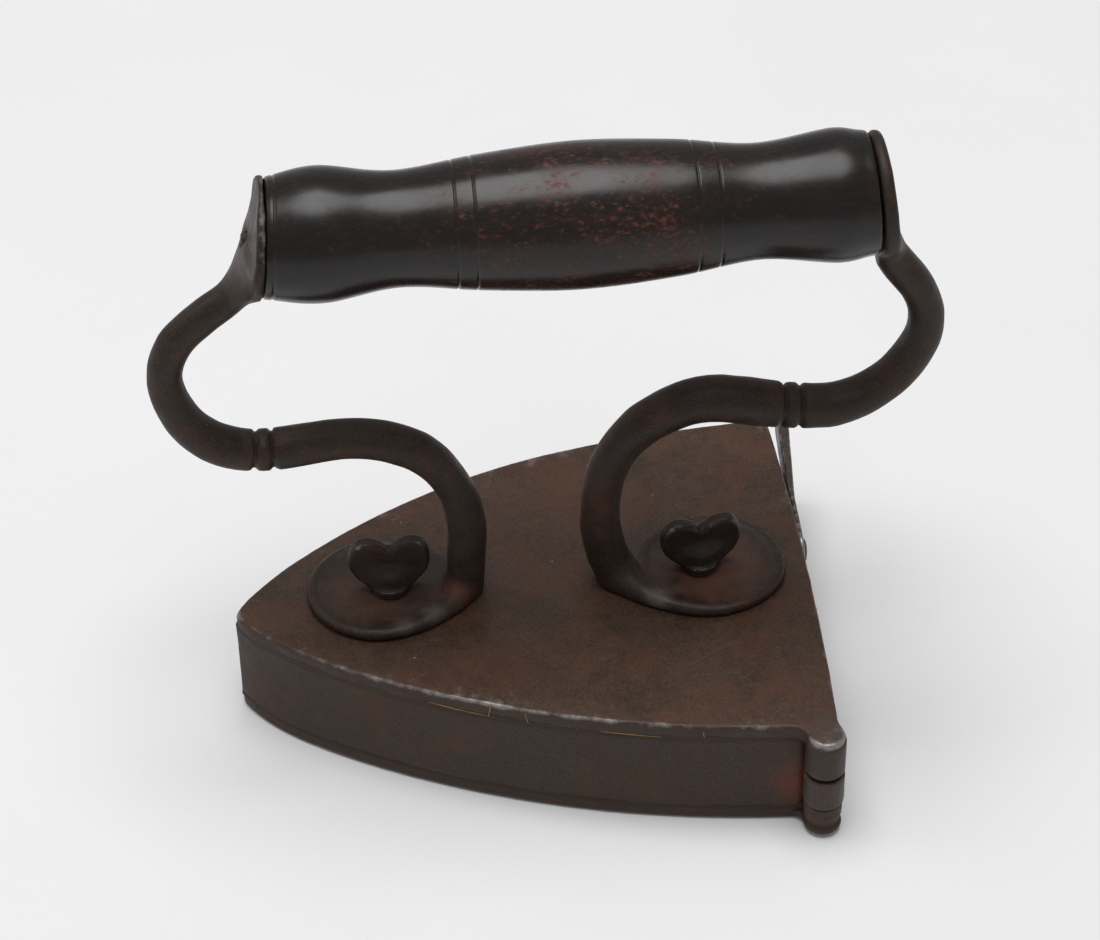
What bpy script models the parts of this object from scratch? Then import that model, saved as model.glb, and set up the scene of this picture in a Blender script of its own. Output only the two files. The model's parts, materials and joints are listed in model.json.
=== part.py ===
"""Slug iron: a hollow iron whose hinged heel door takes a hot iron slug, under a turned wooden grip.

Metres, +Z up. The nose points along -X and the heel along +X. The origin lies on the flat
sole, half way along the body and on its middle line.
"""
import math
from collections import namedtuple

import bmesh
import bpy
from mathutils import Matrix, Vector
from mathutils.geometry import interpolate_bezier

# Fits
seam_gap = 0.0003
running_gap = 0.0003
swing_gap = 0.0004
cut_overrun = 0.002
flat_deg = 0.1

# Body: the plan outline is one curve a side, from the nose to the heel corner
body_length = 0.1264
body_width = 0.1020
body_height = 0.0276
heel_bow = 0.0014
nose_handle_shares = (0.0486, 0.2592)
corner_handle_shares = (0.4102, 0.9594)
side_steps = 24
heel_steps = 8
top_plate_thickness = 0.0032
sole_thickness = 0.0032
wall_thickness = 0.0034
wall_inset = 0.0002
edge_round = 0.0006
sole_edge_round = 0.0010

# Hinge at the near heel corner
knuckle_radius = 0.0041
hinge_from_heel = 0.0043
hinge_outside_side = 0.0022
hinge_pin_radius = 0.0017
knuckle_step = 0.00006
web_fillet = 0.0024
web_overlap = 0.0010
web_sink = 0.00012
web_low_share = 0.45
web_high_share = 0.90
fillet_steps = 6
lower_knuckle_top_share = 0.301
door_knuckle_share = 0.254
upper_knuckle_gap = 0.0012
bore_turn_deg = 4.0
knuckle_foot_rise = 0.0006
knuckle_foot_shares = ((1.0, 1.10), (0.95, 0.60), (0.82, 0.25), (0.55, 0.0))
hinge_pin_cover = 0.0022
round_steps = 32
small_steps = 16

# Heel door
door_thickness = 0.0026
door_inset = 0.0001
strap_thickness = 0.0027
strap_reach = 0.0070

# Latch lever on the door, held by one rivet
latch_pivot_from_far_side = 0.0375
latch_pivot_share = 0.7065
latch_length = 0.0370
latch_lift_deg = 7.6
latch_eye_radius = 0.0045
latch_tip_radius = 0.0030
latch_root_thickness = 0.0012
latch_tip_thickness = 0.0029
latch_tip_stand_off = 0.0007
latch_straight_share = 0.35
latch_rivet_radius = 0.0016
latch_rivet_head = 0.0034
latch_rivet_rise = 0.0013

# Latch keeper on the far side wall
keeper_thickness = 0.0015
keeper_length = 0.0150
keeper_low_share = 0.2536
keeper_high_share = 0.580
keeper_tab_low_share = 0.123
keeper_tab_high_share = 0.3333
keeper_tab_end = 0.0053
keeper_slot_width = 0.0037
keeper_slot_depth = 0.0045
keeper_neck_share = 0.55
keeper_rivet_radius = 0.0012
keeper_rivet_head = 0.0023
keeper_rivet_rise = 0.0010
keeper_rivet_shares = (0.25, 0.68)

# Handle feet: discs clamped on two studs by wing nuts
foot_radius = 0.0152
foot_thickness = 0.0020
foot_round = 0.0007
disc_steps = 40
front_stud_from_nose = 0.0342
rear_stud_from_heel = 0.0240
stud_off_centre = 0.0016
stud_radius = 0.0026
stud_head_radius = 0.0046
stud_head_height = 0.0012
nut_width = 0.0178
nut_height = 0.0148
nut_wing_thickness = 0.0031
nut_wing_round = 0.0009
nut_collar_radius = 0.0053
nut_collar_height = 0.0018
nut_neck_radius = 0.0041
nut_bore_depth = 0.0048
nut_turn_deg = 8.0
nut_half_outline_shares = ((0.44, 0.16), (0.97, 0.66), (0.62, 1.0), (0.0, 0.78))

# Handle posts: S-bent round rods from the feet to the ears
rod_radius = 0.0042
front_bow_past_grip = 0.0235
rear_bow_past_grip = 0.0107
rod_curve_steps = 4
rod_bevel_steps = 4
front_post_shares = (
    (-0.637, 0.018, 0.40), (-0.941, 0.022, 0.85), (-1.123, 0.070, 1.04), (-1.152, 0.150, 0.90),
    (-0.999, 0.275, 0.92), (-0.622, 0.365, 0.97), (-0.087, 0.416, 1.03), (0.200, 0.434, 1.08),
    (0.569, 0.422, 1.00), (0.790, 0.451, 0.99), (0.935, 0.525, 0.92), (1.000, 0.640, 0.87))
front_ear_shares = ((0.131, 1.94, 0.86), (0.468, 1.33, 0.88), (0.749, 0.86, 0.92), (0.834, 0.56, 0.55))
rear_post_shares = (
    (-0.680, 0.018, 0.40), (-1.051, 0.024, 0.86), (-1.314, 0.070, 1.10), (-1.447, 0.165, 1.04),
    (-1.391, 0.280, 1.03), (-1.098, 0.388, 1.07), (-0.588, 0.450, 1.12), (0.020, 0.474, 1.18),
    (0.397, 0.436, 1.08), (0.640, 0.436, 1.08), (0.860, 0.505, 0.97), (0.985, 0.620, 0.88))
rear_ear_shares = ((0.066, 2.16, 0.86), (0.417, 1.67, 0.87), (0.606, 1.255, 0.80), (0.694, 0.82, 0.55))
bead_point = 8
bead_half_length = 0.0017
bead_groove_radius = 0.0008
bead_groove_depth = 0.0004
bead_tilt_deg = 3.0
ring_steps = 6
bead_steps = 24

# Grip and the tang through it
grip_length = 0.1250
grip_height = 0.1262
grip_behind_middle = 0.0130
grip_radius = 0.0150
grip_shares = (
    (0.000, 0.805), (0.012, 0.833), (0.085, 0.923), (0.205, 0.788), (0.345, 0.915), (0.500, 1.000),
    (0.655, 0.925), (0.790, 0.785), (0.915, 0.910), (0.980, 0.862), (1.000, 0.840))
grip_groove_shares = (0.298, 0.329, 0.686, 0.722)
grip_groove_width = 0.0008
grip_groove_depth = 0.0004
grip_profile_steps = 2
tang_radius = 0.0032
ear_radius = 0.0129
ear_rim = 0.0015
ear_middle = 0.0042
ear_flat_radius = 0.0056
tang_head_radius = 0.0047
tang_head_rise = 0.0012

# Slug inside the body
slug_clearance = 0.0012
slug_thickness_share = 0.755
slug_edge_round = 0.0010
slug_door_play = 0.0015
slug_hook_radius = 0.0060
slug_hook_from_heel = 0.0140

# Places worked out from the sizes above
nose_x = -body_length / 2
heel_x = body_length / 2
corner_x = heel_x - heel_bow
half_width = body_width / 2
ceiling = body_height - top_plate_thickness
lower_knuckle_top = body_height * lower_knuckle_top_share
door_knuckle_height = body_height * door_knuckle_share
latch_pivot_y = half_width - latch_pivot_from_far_side
latch_pivot_z = body_height * latch_pivot_share
keeper_low = body_height * keeper_low_share
keeper_high = body_height * keeper_high_share
keeper_tab_low = body_height * keeper_tab_low_share
keeper_tab_high = body_height * keeper_tab_high_share
slug_thickness = (ceiling - sole_thickness) * slug_thickness_share
hinge_x = heel_x - hinge_from_heel
hinge_y = -half_width - hinge_outside_side
door_face_x = heel_x - door_inset
wall_end_x = corner_x - door_inset - door_thickness - swing_gap
foot_top = body_height + seam_gap + foot_thickness
front_stud_x = nose_x + front_stud_from_nose
rear_stud_x = heel_x - rear_stud_from_heel
grip_front_x = grip_behind_middle - grip_length / 2
grip_rear_x = grip_behind_middle + grip_length / 2
latch_face_x = heel_x + running_gap


# Where each post starts, how far it bows out and where it meets the grip
PostPlan = namedtuple("PostPlan", "stud_x bow_x grip_end_x outward shares ear_shares bead")
front_plan = PostPlan(front_stud_x, grip_front_x - front_bow_past_grip, grip_front_x, -1,
                      front_post_shares, front_ear_shares, bead_point)
rear_plan = PostPlan(rear_stud_x, grip_rear_x + rear_bow_past_grip, grip_rear_x, 1,
                     rear_post_shares, rear_ear_shares, bead_point)

# Colours and finishes seen in the photograph
finishes = {
    "plate_iron": ((0.055, 0.038, 0.031), 0.55, 0.75),
    "wall_iron": ((0.042, 0.035, 0.030), 0.50, 0.80),
    "rod_iron": ((0.030, 0.020, 0.016), 0.50, 0.80),
    "nut_iron": ((0.022, 0.015, 0.012), 0.50, 0.80),
    "hinge_iron": ((0.055, 0.046, 0.040), 0.45, 0.85),
    "latch_iron": ((0.040, 0.034, 0.028), 0.35, 0.90),
    "slug_iron": ((0.035, 0.027, 0.023), 0.75, 0.60),
    "ebonised_wood": ((0.018, 0.013, 0.012), 0.38, 0.0),
}


def clear_scene():
    """Removes whatever the open file holds."""
    for item in list(bpy.data.objects):
        bpy.data.objects.remove(item, do_unlink=True)


def make_collection(name):
    """Adds a collection to the scene."""
    collection = bpy.data.collections.new(name)
    bpy.context.scene.collection.children.link(collection)
    return collection


def make_material(name):
    """A plain metal or wood with the colour, roughness and metallic value of its finish."""
    colour, roughness, metallic = finishes[name]
    material = bpy.data.materials.new(name)
    material.use_nodes = True
    shader = material.node_tree.nodes["Principled BSDF"]
    shader.inputs["Base Color"].default_value = (*colour, 1.0)
    shader.inputs["Roughness"].default_value = roughness
    shader.inputs["Metallic"].default_value = metallic
    return material


def place(item, collection):
    """Links an object to one collection."""
    collection.objects.link(item)
    return item


def as_part(item, name, finish, sharp_deg=35.0):
    """Names a solid as a sub-part, gives it its material and shades its round faces smooth."""
    item.name = name
    item.data.name = name
    item.data.materials.clear()
    item.data.materials.append(materials[finish])
    item.data.shade_smooth()
    item.data.set_sharp_from_angle(angle=math.radians(sharp_deg))
    place(item, parts)
    return item


def as_cutter(item, name):
    """Hides a helper solid and keeps it out of the parts."""
    item.name = name
    item.hide_render = True
    item.display_type = "WIRE"
    place(item, cutters)
    return item


def combine(item, other, operation):
    """Adds a Boolean with a helper solid."""
    modifier = item.modifiers.new(other.name, "BOOLEAN")
    modifier.operation = operation
    modifier.solver = "EXACT"
    modifier.object = other
    return item


def bevel(item, width, segments=2, angle_deg=50.0, clamp=True):
    """Rounds the sharp edges of a solid."""
    modifier = item.modifiers.new("round", "BEVEL")
    modifier.width = width
    modifier.segments = segments
    modifier.limit_method = "ANGLE"
    modifier.angle_limit = math.radians(angle_deg)
    modifier.use_clamp_overlap = clamp
    return item


def curve_to_mesh(curve_object):
    """Turns a curve into a welded mesh in the same place."""
    bpy.context.scene.collection.objects.link(curve_object)
    depsgraph = bpy.context.evaluated_depsgraph_get()
    mesh = bpy.data.meshes.new_from_object(curve_object.evaluated_get(depsgraph))
    solid = bpy.data.objects.new(curve_object.name, mesh)
    solid.matrix_world = curve_object.matrix_world
    bpy.data.objects.remove(curve_object, do_unlink=True)
    body = bmesh.new()
    body.from_mesh(mesh)
    bmesh.ops.remove_doubles(body, verts=body.verts, dist=seam_gap / 30)
    bmesh.ops.recalc_face_normals(body, faces=body.faces)
    body.to_mesh(mesh)
    body.free()
    return solid


def with_whole_caps(item):
    """Joins the triangles of each flat face into one face, so that a bevel runs evenly round it."""
    body = bmesh.new()
    body.from_mesh(item.data)
    bmesh.ops.dissolve_limit(body, angle_limit=math.radians(flat_deg), verts=body.verts, edges=body.edges)
    body.to_mesh(item.data)
    body.free()
    return item


def flat_solid(name, outline, depth, matrix):
    """A closed outline of 2D points, filled and given a depth about its own plane."""
    curve = bpy.data.curves.new(name, "CURVE")
    curve.dimensions = "2D"
    curve.fill_mode = "BOTH"
    curve.extrude = depth / 2
    spline = curve.splines.new("POLY")
    spline.points.add(len(outline) - 1)
    for point, spot in zip(spline.points, outline):
        point.co = (spot[0], spot[1], 0.0, 1.0)
    spline.use_cyclic_u = True
    item = bpy.data.objects.new(name, curve)
    item.matrix_world = matrix
    return with_whole_caps(curve_to_mesh(item))


def plan_solid(name, outline, low, high):
    """An outline seen from above, between two heights."""
    return flat_solid(name, outline, high - low, Matrix.Translation((0.0, 0.0, (low + high) / 2)))


# Planes for outlines drawn from the heel (Y, Z) and from the near side (X, Z)
heel_view = Matrix(((0, 0, 1, 0), (1, 0, 0, 0), (0, 1, 0, 0), (0, 0, 0, 1)))
side_view = Matrix(((1, 0, 0, 0), (0, 0, -1, 0), (0, 1, 0, 0), (0, 0, 0, 1)))


def turned_solid(name, profile, steps, matrix=Matrix.Identity(4), closed=False):
    """Turns a profile of (radius, height) points, outer side from top to bottom, about its own Z."""
    mesh = bpy.data.meshes.new(name)
    points = [(radius, 0.0, height) for radius, height in profile]
    edges = [(index, index + 1) for index in range(len(points) - 1)]
    if closed:
        edges.append((len(points) - 1, 0))
    mesh.from_pydata(points, edges, [])
    item = bpy.data.objects.new(name, mesh)
    screw = item.modifiers.new("turn", "SCREW")
    screw.steps = steps
    screw.render_steps = steps
    screw.use_merge_vertices = True
    screw.merge_threshold = seam_gap / 30
    item.matrix_world = matrix
    return item


def cylinder(name, radius, low, high, steps, matrix=Matrix.Identity(4)):
    """A plain round solid between two heights along its own Z."""
    profile = [(0.0, high), (radius, high), (radius, low), (0.0, low)]
    return turned_solid(name, profile, steps, matrix)


def along_x(x, y, z):
    """Stands a turned solid's Z axis along +X at a place."""
    return Matrix.Translation((x, y, z)) @ Matrix.Rotation(math.radians(90), 4, "Y")


def side_curve():
    """The far side of the plan outline, from the nose to the heel corner."""
    length = corner_x - nose_x
    nose = Vector((nose_x, 0.0, 0.0))
    corner = Vector((corner_x, half_width, 0.0))
    first = Vector((nose_x + length * nose_handle_shares[0], half_width * nose_handle_shares[1], 0.0))
    second = Vector((nose_x + length * corner_handle_shares[0], half_width * corner_handle_shares[1], 0.0))
    return [point.xy for point in interpolate_bezier(nose, first, second, corner, side_steps)]


def half_outline(inset):
    """The far side moved inwards by an inset, from its tip on the middle line to the heel.

    A negative inset moves it outwards, and then it starts beside the middle line.
    """
    curve = side_curve()
    moved = []
    for index, point in enumerate(curve):
        before = curve[max(index - 1, 0)]
        after = curve[min(index + 1, len(curve) - 1)]
        along = (after - before).normalized()
        moved.append(point + Vector((along.y, -along.x)) * inset)
    if inset < 0:
        return moved
    first = next(index for index, point in enumerate(moved) if point.y > 0)
    outer, inner = moved[max(first - 1, 0)], moved[first]
    share = -outer.y / (inner.y - outer.y)
    tip = outer.lerp(inner, share)
    return [Vector((tip.x, 0.0))] + moved[first:]


def spot_at(points, x):
    """The place and direction of a line of points where it passes a given x."""
    for before, after in zip(points, points[1:]):
        if before.x <= x <= after.x:
            share = (x - before.x) / (after.x - before.x)
            return before.lerp(after, share), (after - before).normalized()
    along = (points[-1] - points[-2]).normalized()
    return points[-1] + along * ((x - points[-1].x) / along.x), along


def ended_at(points, x):
    """Cuts a line of points off at a given x, or carries it on to there."""
    kept = [point for point in points if point.x < x]
    return kept + [spot_at(points, x)[0]]


def mirrored(points):
    """A half outline with its mirror image, near side first, round the nose to the far side."""
    near = [Vector((point.x, -point.y)) for point in reversed(points[1:])]
    return near + points


def heel_x_at(y, inset=0.0):
    """The bowed heel edge at a place across the body."""
    return corner_x + heel_bow * (1.0 - (y / half_width) ** 2) - inset


def heel_points(start_y, end_y, inset=0.0):
    """Points along the bowed heel edge."""
    spots = [start_y + (end_y - start_y) * step / heel_steps for step in range(heel_steps + 1)]
    return [Vector((heel_x_at(y, inset), y)) for y in spots]


def fillet_arc(corner, along, outward):
    """The fillet between a plate edge and the hinge knuckle, from the edge to the knuckle.

    The edge starts at corner and runs along, with the outside on the side of outward.
    """
    hinge = Vector((hinge_x, hinge_y))
    hinge_along = (hinge - corner).dot(along)
    hinge_out = (hinge - corner).dot(outward)
    reach = knuckle_radius + web_fillet
    centre_along = hinge_along + math.sqrt(reach ** 2 - (hinge_out - web_fillet) ** 2)
    centre = corner + along * centre_along + outward * web_fillet
    start = -math.pi / 2
    end = math.atan2(hinge_out - web_fillet, hinge_along - centre_along)
    end -= 2 * math.pi if end > 0 else 0.0
    arc = []
    for step in range(fillet_steps + 1):
        angle = start + (end - start) * step / fillet_steps
        arc.append(centre + (along * math.cos(angle) + outward * math.sin(angle)) * web_fillet)
    return arc


def hinge_lobe(sink=0.0):
    """The outline round the hinge knuckle, from the heel edge to the near side edge.

    With a sink, both ends lie that far inside the plate's own outline.
    """
    outline = half_outline(0.0)
    corner = Vector((outline[-1].x - sink, sink - outline[-1].y))
    towards_nose = (Vector((outline[-2].x, -outline[-2].y)) - corner).normalized()
    towards_far = (heel_points(-half_width, half_width)[1] - corner).normalized()
    side_arc = fillet_arc(corner, towards_nose, Vector((-towards_nose.y, towards_nose.x)))
    heel_arc = fillet_arc(corner, towards_far, Vector((towards_far.y, -towards_far.x)))
    hinge = Vector((hinge_x, hinge_y))
    start = math.atan2(*reversed(heel_arc[-1] - hinge))
    end = math.atan2(*reversed(side_arc[-1] - hinge))
    end -= 2 * math.pi if end > start else 0.0
    knuckle = []
    for step in range(1, small_steps):
        angle = start + (end - start) * step / small_steps
        knuckle.append(hinge + Vector((math.cos(angle), math.sin(angle))) * knuckle_radius)
    return heel_arc + knuckle + list(reversed(side_arc))


def plate_outline(lobe):
    """The whole plan outline of a plate, round the nose, along the heel and round the hinge lobe if any."""
    edge = mirrored(half_outline(0.0))
    heel = heel_points(half_width, -half_width)[1:-1]
    if not lobe:
        return edge + heel
    near_limit = lobe[-1].x - edge_round
    near_start = next(index for index, point in enumerate(edge) if point.x < near_limit)
    return edge[near_start:] + [point for point in heel if point.y > lobe[0].y + edge_round] + lobe


def hinge_matrix():
    """The hinge axis as a place for turned solids."""
    return Matrix.Translation((hinge_x, hinge_y, 0.0))


def hinge_bore(name, low, high):
    """A bore for the hinge pin, turned a little so that its corners miss those of the knuckle."""
    turned = hinge_matrix() @ Matrix.Rotation(math.radians(bore_turn_deg), 4, "Z")
    return cylinder(name, hinge_pin_radius + running_gap, low, high, small_steps, turned)


def make_sole_plate():
    """The flat sole with the lower hinge knuckle, bored for the pin."""
    sole = plan_solid("sole_plate", plate_outline([]), 0.0, sole_thickness)
    bevel(sole, sole_edge_round, clamp=False)
    lobe = hinge_lobe(web_sink)
    inner = [lobe[-1] + Vector((0.0, web_overlap)), lobe[0] - Vector((web_overlap, 0.0))]
    web_low = sole_thickness * web_low_share
    web_high = sole_thickness * web_high_share
    web = plan_solid("sole_web", lobe + inner, web_low, web_high)
    combine(sole, as_cutter(web, "sole_web"), "UNION")
    foot = sole_thickness
    outer = knuckle_radius + knuckle_step
    profile = [(0.0, lower_knuckle_top), (outer, lower_knuckle_top)]
    for radius_share, height_share in knuckle_foot_shares:
        profile.append((outer * radius_share, knuckle_foot_rise + foot * height_share))
    profile.append((0.0, knuckle_foot_rise))
    knuckle = turned_solid("lower_knuckle", profile, round_steps, hinge_matrix())
    combine(sole, as_cutter(knuckle, "lower_knuckle"), "UNION")
    bore = hinge_bore("lower_bore", -cut_overrun, body_height)
    combine(sole, as_cutter(bore, "lower_bore"), "DIFFERENCE")
    return as_part(sole, "sole_plate", "wall_iron")


def make_side_band():
    """The wall: one bar bent round the nose, open at the heel and scooped for the hinge."""
    outer = ended_at(half_outline(wall_inset), wall_end_x)
    inner = ended_at(half_outline(wall_inset + wall_thickness), wall_end_x)
    outline = mirrored(outer) + list(reversed(mirrored(inner)))
    low = sole_thickness + seam_gap
    high = ceiling - seam_gap
    band = plan_solid("side_band", outline, low, high)
    scoop_radius = knuckle_radius + swing_gap
    scoop = cylinder("hinge_scoop", scoop_radius, -cut_overrun, body_height, round_steps, hinge_matrix())
    combine(band, as_cutter(scoop, "hinge_scoop"), "DIFFERENCE")
    for number, matrix in enumerate(keeper_rivet_places()):
        hole_radius = keeper_rivet_radius + running_gap
        hole = cylinder("hole", hole_radius, -wall_thickness * 2, wall_thickness, small_steps, matrix)
        combine(band, as_cutter(hole, f"band_rivet_hole_{number}"), "DIFFERENCE")
    return as_part(band, "side_band", "wall_iron")


def make_top_plate():
    """The top plate with the upper hinge knuckle and holes for the two handle studs."""
    plate = plan_solid("top_plate", plate_outline(hinge_lobe()), ceiling, body_height)
    bevel(plate, edge_round, clamp=False)
    low = lower_knuckle_top + seam_gap + door_knuckle_height + upper_knuckle_gap
    inside = ceiling + top_plate_thickness / 2
    outer = knuckle_radius - knuckle_step
    knuckle = cylinder("upper_knuckle", outer, low, inside, round_steps, hinge_matrix())
    combine(plate, as_cutter(knuckle, "upper_knuckle"), "UNION")
    bore = hinge_bore("upper_bore", low - cut_overrun, body_height - hinge_pin_cover + running_gap)
    combine(plate, as_cutter(bore, "upper_bore"), "DIFFERENCE")
    hole_radius = stud_radius + running_gap
    hole_low = ceiling - cut_overrun
    hole_top = body_height + cut_overrun
    for name, x in (("front", front_stud_x), ("rear", rear_stud_x)):
        place_at = Matrix.Translation((x, 0.0, 0.0))
        hole = cylinder("hole", hole_radius, hole_low, hole_top, small_steps, place_at)
        combine(plate, as_cutter(hole, f"{name}_plate_hole"), "DIFFERENCE")
    return as_part(plate, "top_plate", "plate_iron")


def make_hinge_pin():
    """The pin through the three knuckles, with a domed lower end."""
    top = body_height - hinge_pin_cover
    low = knuckle_foot_rise
    dome = hinge_pin_radius / 3
    profile = [(0.0, top), (hinge_pin_radius, top), (hinge_pin_radius, low + dome),
               (hinge_pin_radius / 2, low), (0.0, low)]
    pin = turned_solid("hinge_pin", profile, small_steps, hinge_matrix())
    return as_part(pin, "hinge_pin", "hinge_iron")


def make_door():
    """The heel door: a bowed plate with a strap to its own knuckle, between the other two."""
    near_end = hinge_y + knuckle_radius + swing_gap
    far_end = half_width - wall_inset
    outer = heel_points(near_end, far_end, door_inset)
    inner = heel_points(far_end, near_end, door_inset + door_thickness)
    door = plan_solid("door", outer + inner, sole_thickness + swing_gap, ceiling - swing_gap)
    knuckle_low = lower_knuckle_top + seam_gap
    knuckle_high = knuckle_low + door_knuckle_height
    strap_out = hinge_x + knuckle_radius
    strap_in = strap_out - strap_thickness
    strap_end = near_end + strap_reach
    face = heel_x_at(strap_end, door_inset + door_thickness / 2)
    strap = [(strap_in, hinge_y), (strap_out, hinge_y), (strap_out, near_end), (face, strap_end),
             (strap_in, strap_end)]
    strap_solid = plan_solid("door_strap", strap, knuckle_low, knuckle_high)
    combine(door, as_cutter(strap_solid, "door_strap"), "UNION")
    knuckle = cylinder("door_knuckle", knuckle_radius, knuckle_low, knuckle_high, round_steps, hinge_matrix())
    combine(door, as_cutter(knuckle, "door_knuckle"), "UNION")
    bore = hinge_bore("door_bore", 0.0, body_height)
    combine(door, as_cutter(bore, "door_bore"), "DIFFERENCE")
    hole_radius = latch_rivet_radius + running_gap
    hole_place = along_x(door_face_x, latch_pivot_y, latch_pivot_z)
    hole = cylinder("hole", hole_radius, -door_thickness * 2, door_thickness, small_steps, hole_place)
    combine(door, as_cutter(hole, "door_rivet_hole"), "DIFFERENCE")
    return as_part(door, "door", "hinge_iron")


def lever_side_outline():
    """The lever seen from the heel: a round eye, straight tapering edges and a round tip."""
    lean = math.asin((latch_eye_radius - latch_tip_radius) / latch_length)
    lift = math.radians(latch_lift_deg)
    points = []
    for centre, radius, start, end in (
            (0.0, latch_eye_radius, math.pi / 2 - lean, 3 * math.pi / 2 + lean),
            (latch_length, latch_tip_radius, -math.pi / 2 + lean, math.pi / 2 - lean)):
        for step in range(heel_steps + 1):
            angle = start + (end - start) * step / heel_steps
            along = centre + radius * math.cos(angle)
            across = radius * math.sin(angle)
            y = latch_pivot_y + along * math.cos(lift) - across * math.sin(lift)
            z = latch_pivot_z + along * math.sin(lift) + across * math.cos(lift)
            points.append((y, z))
    return points


def make_latch_lever():
    """The latch lever: its side outline cut to a plan that thickens and stands off at the tip."""
    root = latch_pivot_y - latch_eye_radius - cut_overrun
    straight = latch_pivot_y + latch_length * latch_straight_share
    tip = latch_pivot_y + latch_length + latch_tip_radius
    tip_in = latch_face_x + latch_tip_stand_off
    outer_root = latch_face_x + latch_root_thickness
    tip_out = tip_in + latch_tip_thickness
    plan = [(latch_face_x, root), (outer_root, root), (outer_root, straight), (tip_out, tip), (tip_in, tip),
            (latch_face_x, straight)]
    lever = plan_solid("latch_lever", plan, 0.0, body_height + latch_length)
    depth = (latch_tip_thickness + latch_tip_stand_off) * 3
    side_place = Matrix.Translation((latch_face_x, 0.0, 0.0)) @ heel_view
    side = flat_solid("lever_side", lever_side_outline(), depth, side_place)
    combine(lever, as_cutter(side, "lever_side"), "INTERSECT")
    hole_radius = latch_rivet_radius + running_gap
    hole_place = along_x(latch_face_x, latch_pivot_y, latch_pivot_z)
    hole = cylinder("hole", hole_radius, -cut_overrun, cut_overrun, small_steps, hole_place)
    combine(lever, as_cutter(hole, "lever_eye_hole"), "DIFFERENCE")
    return as_part(lever, "latch_lever", "latch_iron")


def domed_rivet(name, radius, head, rise, length, matrix):
    """A rivet along its own Z: a straight shank below zero and a domed head above it."""
    profile = [(0.0, rise), (head * 0.5, rise * 0.87), (head * 0.87, rise * 0.5), (head, 0.0), (radius, 0.0),
               (radius, -length), (0.0, -length)]
    return turned_solid(name, profile, small_steps, matrix)


def make_latch_rivet():
    """The rivet that the lever turns on, peened flush inside the door."""
    seat = latch_face_x + latch_root_thickness + running_gap
    length = seat - heel_x_at(latch_pivot_y, door_inset + door_thickness)
    matrix = along_x(seat, latch_pivot_y, latch_pivot_z)
    rivet = domed_rivet("latch_rivet", latch_rivet_radius, latch_rivet_head, latch_rivet_rise, length, matrix)
    return as_part(rivet, "latch_rivet", "latch_iron")


def keeper_rivet_places():
    """Where the keeper's rivets cross the far wall: Z points outwards from the wall's outer face."""
    start_x = wall_end_x - keeper_length
    outer = half_outline(wall_inset)
    matrices = []
    for share in keeper_rivet_shares:
        spot, along = spot_at(outer, start_x + keeper_length * share)
        outward = Vector((-along.y, along.x, 0.0))
        upright = Vector((0.0, 0.0, 1.0))
        turn = Matrix((upright, Vector((along.x, along.y, 0.0)), outward)).transposed().to_4x4()
        if turn.determinant() < 0:
            turn = turn @ Matrix.Diagonal((1.0, -1.0, 1.0, 1.0))
        height = (keeper_low + keeper_high) / 2
        matrices.append(Matrix.Translation((spot.x, spot.y, height)) @ turn)
    return matrices


def make_latch_keeper():
    """The keeper: a strip on the far wall whose tab behind the heel has an open slot for the lever."""
    near_face = half_outline(wall_inset - seam_gap)
    far_face = half_outline(wall_inset - seam_gap - keeper_thickness)
    start_x = wall_end_x - keeper_length
    tab_x = heel_x + keeper_tab_end
    inner = [spot_at(near_face, start_x)[0]] + [p for p in near_face if start_x < p.x < corner_x]
    outer = [spot_at(far_face, start_x)[0]] + [p for p in far_face if start_x < p.x < corner_x]
    tab_y = spot_at(near_face, corner_x)[0].y
    inner += [Vector((corner_x, tab_y)), Vector((tab_x, tab_y))]
    outer += [Vector((corner_x, tab_y + keeper_thickness)), Vector((tab_x, tab_y + keeper_thickness))]
    keeper = plan_solid("latch_keeper", inner + list(reversed(outer)), 0.0, body_height)
    slot_start = latch_face_x + latch_tip_stand_off - running_gap
    slot_end = slot_start + keeper_slot_width
    slot_low = keeper_tab_high - keeper_slot_depth
    neck = corner_x - keeper_tab_end * keeper_neck_share
    side = [(start_x, keeper_low), (neck, keeper_low), (corner_x, keeper_tab_low),
            (tab_x, keeper_tab_low), (tab_x, keeper_tab_high), (slot_end, keeper_tab_high),
            (slot_end, slot_low), (slot_start, slot_low), (slot_start, keeper_tab_high),
            (corner_x, keeper_tab_high), (neck, keeper_high), (start_x, keeper_high)]
    side_place = Matrix.Translation((0.0, half_width, 0.0)) @ side_view
    side_solid = flat_solid("keeper_side", side, keeper_length, side_place)
    combine(keeper, as_cutter(side_solid, "keeper_side"), "INTERSECT")
    for number, matrix in enumerate(keeper_rivet_places()):
        hole_radius = keeper_rivet_radius + running_gap
        hole_top = keeper_thickness + cut_overrun
        hole = cylinder("hole", hole_radius, -cut_overrun, hole_top, small_steps, matrix)
        combine(keeper, as_cutter(hole, f"keeper_rivet_hole_{number}"), "DIFFERENCE")
    return as_part(keeper, "latch_keeper", "latch_iron")


def make_keeper_rivets():
    """Two rivets through the keeper and the far wall, peened flush inside."""
    for number, matrix in enumerate(keeper_rivet_places()):
        seat = seam_gap + keeper_thickness + seam_gap
        name = ("keeper_rivet_front", "keeper_rivet_rear")[number]
        place_at = matrix @ Matrix.Translation((0.0, 0.0, seat))
        length = seat + wall_thickness
        rivet = domed_rivet(name, keeper_rivet_radius, keeper_rivet_head, keeper_rivet_rise, length, place_at)
        as_part(rivet, name, "latch_iron")


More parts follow.
